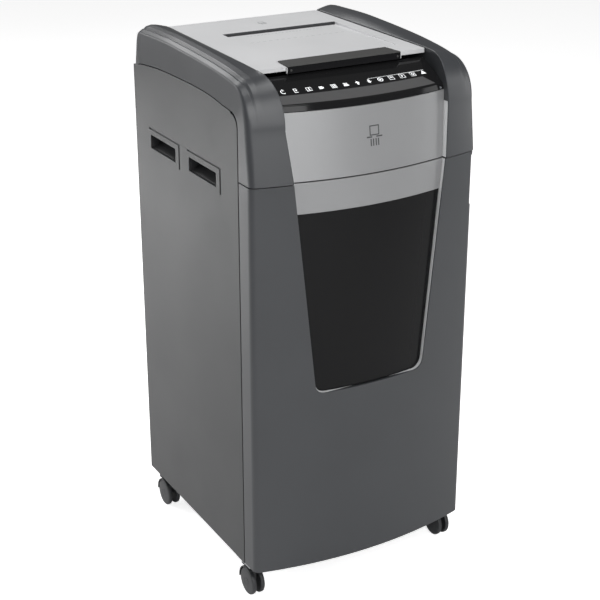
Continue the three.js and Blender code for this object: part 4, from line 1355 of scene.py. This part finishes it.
# %% Pins and switch marks
pins = []
for x, z in ((-7, -2), (7, -2), (0, 2.5)):
    pin = rectangle(134 + x, 119 + z, 136 + x, 123 + z, 0.4, 3)
    pins.append(plate("pin", pin, "y", BACK - 17.5, BACK - 4))
dress(shade(joined("inlet_pins", pins)), STEEL, "cabinet", "steel")


def on_rocker(u, v, height):
    """A place on the two sloped faces of the rocker."""
    return (176 - u, BACK - 1 - 0.25 * abs(v) + height + 0.02, 121 + v)


marks = bar(0, 3.2, 0, 6.0, 0.6)
marks += [[(u, v - 4.8) for u, v in shape] for shape in ring(1.3, width=0.5)]
dress(printed("switch_marks", marks, on_rocker, 0.08), GLOWING_PRINT, "rocker", "gloss_black")

# %% [markdown]
# ## The other CAD parts
# The frame plates, gears, rollers, tray and covers already have their true shapes, so they stay
# and get a finish. The status light is a small grey lens that glows faintly.

# %% Finish what stays
LAMP, tree, shader = new_material("status lamp", Emission_Strength=0.03)
glow = effect(tree, GRAIN, Grain_mm=0.5, Drift_mm=2.0)
for socket, colour in (("Base Color", (0.16, 0.17, 0.18)), ("Emission Color", (0.70, 0.80, 0.90))):
    tree.links.new(blend_tone(tree, glow.outputs["Drift"], colour, 0.05), shader.inputs[socket])

FINISHES = {
    "status_led": LAMP, "control_board": BOARD, "feed_tray": INNER, "head_floor": INNER,
    "slot_guide": INNER, "gearbox": INNER, "feed_pulley": INNER, "drive_pulley": INNER,
    "mains_inlet": INNER, "switch_frame": INNER, "power_rocker": GLOSS, "rear_panel": SHELL_DARK,
    "base_pan": ZINC, "motor": ZINC, "hinge_bracket": ZINC, "feed_belt": RUBBER,
    "feed_roller_left": RUBBER, "feed_roller_right": RUBBER,
}
for name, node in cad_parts.items():
    if node.hide_render:
        continue
    finish = FINISHES.get(name) or (SHELL if name.startswith("grip_cup") else STEEL)
    wear(node, finish)
print("CAD parts that stay:", sum(not node.hide_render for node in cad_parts.values()))

# %% [markdown]
# ## Floor and light
# The machine stands on a plain pale floor under soft studio light. Two softboxes stand on the
# left for the side panel, two in front for the door and the fascia, one on the right, one at the
# back, and one hangs overhead for the lid. The last one only lights a pool on the floor, which
# the satin side panel reflects. Between the left and the front boxes is a gap, and that gap is
# what draws the dark band down the rounded front corner.

# %% Floor
floor = bpy.data.objects.new("studio_floor", bpy.data.meshes.new("studio_floor"))
reach = 30.0
corners = [(-reach, -reach, 0), (reach, -reach, 0), (reach, reach, 0), (-reach, reach, 0)]
floor.data.from_pydata(corners, [], [(0, 1, 2, 3)])
bpy.context.scene.collection.objects.link(floor)
PAPER = moulded("studio paper", (0.92, 0.92, 0.92), 0.9, grain=2.0, depth=0.005, spread=0.005)
tree = PAPER.node_tree
paper_shader = tree.nodes["Principled BSDF"]
seen = add_node(tree, "ShaderNodeLightPath")
tree.links.new(times(tree, seen.outputs["Is Camera Ray"], 0.75), paper_shader.inputs["Emission Strength"])
paper_shader.inputs["Emission Color"].default_value = (1.0, 1.0, 1.0, 1.0)
wear(floor, PAPER)
floor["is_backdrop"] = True

# %% Lights


def softbox(name, place, aim, width, height, power):
    data = bpy.data.lights.new(name, "AREA")
    data.shape = "RECTANGLE"
    data.size, data.size_y, data.energy = width, height, power
    light = bpy.data.objects.new(name, data)
    light.location = place
    light.rotation_euler = (Vector(aim) - Vector(place)).to_track_quat("-Z", "Y").to_euler()
    bpy.context.scene.collection.objects.link(light)
    return light


softbox("left_back_box", (-1.5, 2.2, 1.4), (0, 0, 0.7), 1.4, 1.6, 7)
softbox("left_low_box", (-2.4, 1.0, 0.9), (0, 0, 0.7), 1.2, 1.0, 5)
softbox("front_low_box", (-0.3, -3.6, 1.2), (0, 0, 0.5), 2.4, 1.2, 30)
softbox("front_high_box", (-0.6, -2.6, 2.5), (0, 0, 0.8), 2.0, 1.6, 48)
softbox("right_box", (2.3, -0.9, 1.1), (0, 0, 0.7), 1.0, 1.6, 12)
softbox("back_box", (-0.3, 2.4, 2.8), (0, 0, 0.9), 1.6, 1.2, 30)
softbox("top_box", (-0.2, -0.3, 3.2), (0, 0, 0.9), 1.6, 1.2, 26)
softbox("floor_pool", (-1.8, 2.3, 1.3), (-1.8, 2.3, 0), 1.6, 1.6, 64)

bpy.context.scene.view_settings.view_transform = "Standard"
world = bpy.data.worlds.new("studio")
bpy.context.scene.world = world
world.use_nodes = True
sky = world.node_tree.nodes["Background"]
sky.inputs["Color"].default_value = (1.0, 1.0, 1.0, 1.0)
sky.inputs["Strength"].default_value = 0.13

# %% Gather the two boxes and finish
new_low, new_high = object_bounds()
sizes = {
    "cad": [list(cad_low), list(cad_high)],
    "visual": [list(new_low), list(new_high)],
}
print("visual box in mm:", [round(v / MM, 1) for v in (*new_low, *new_high)])
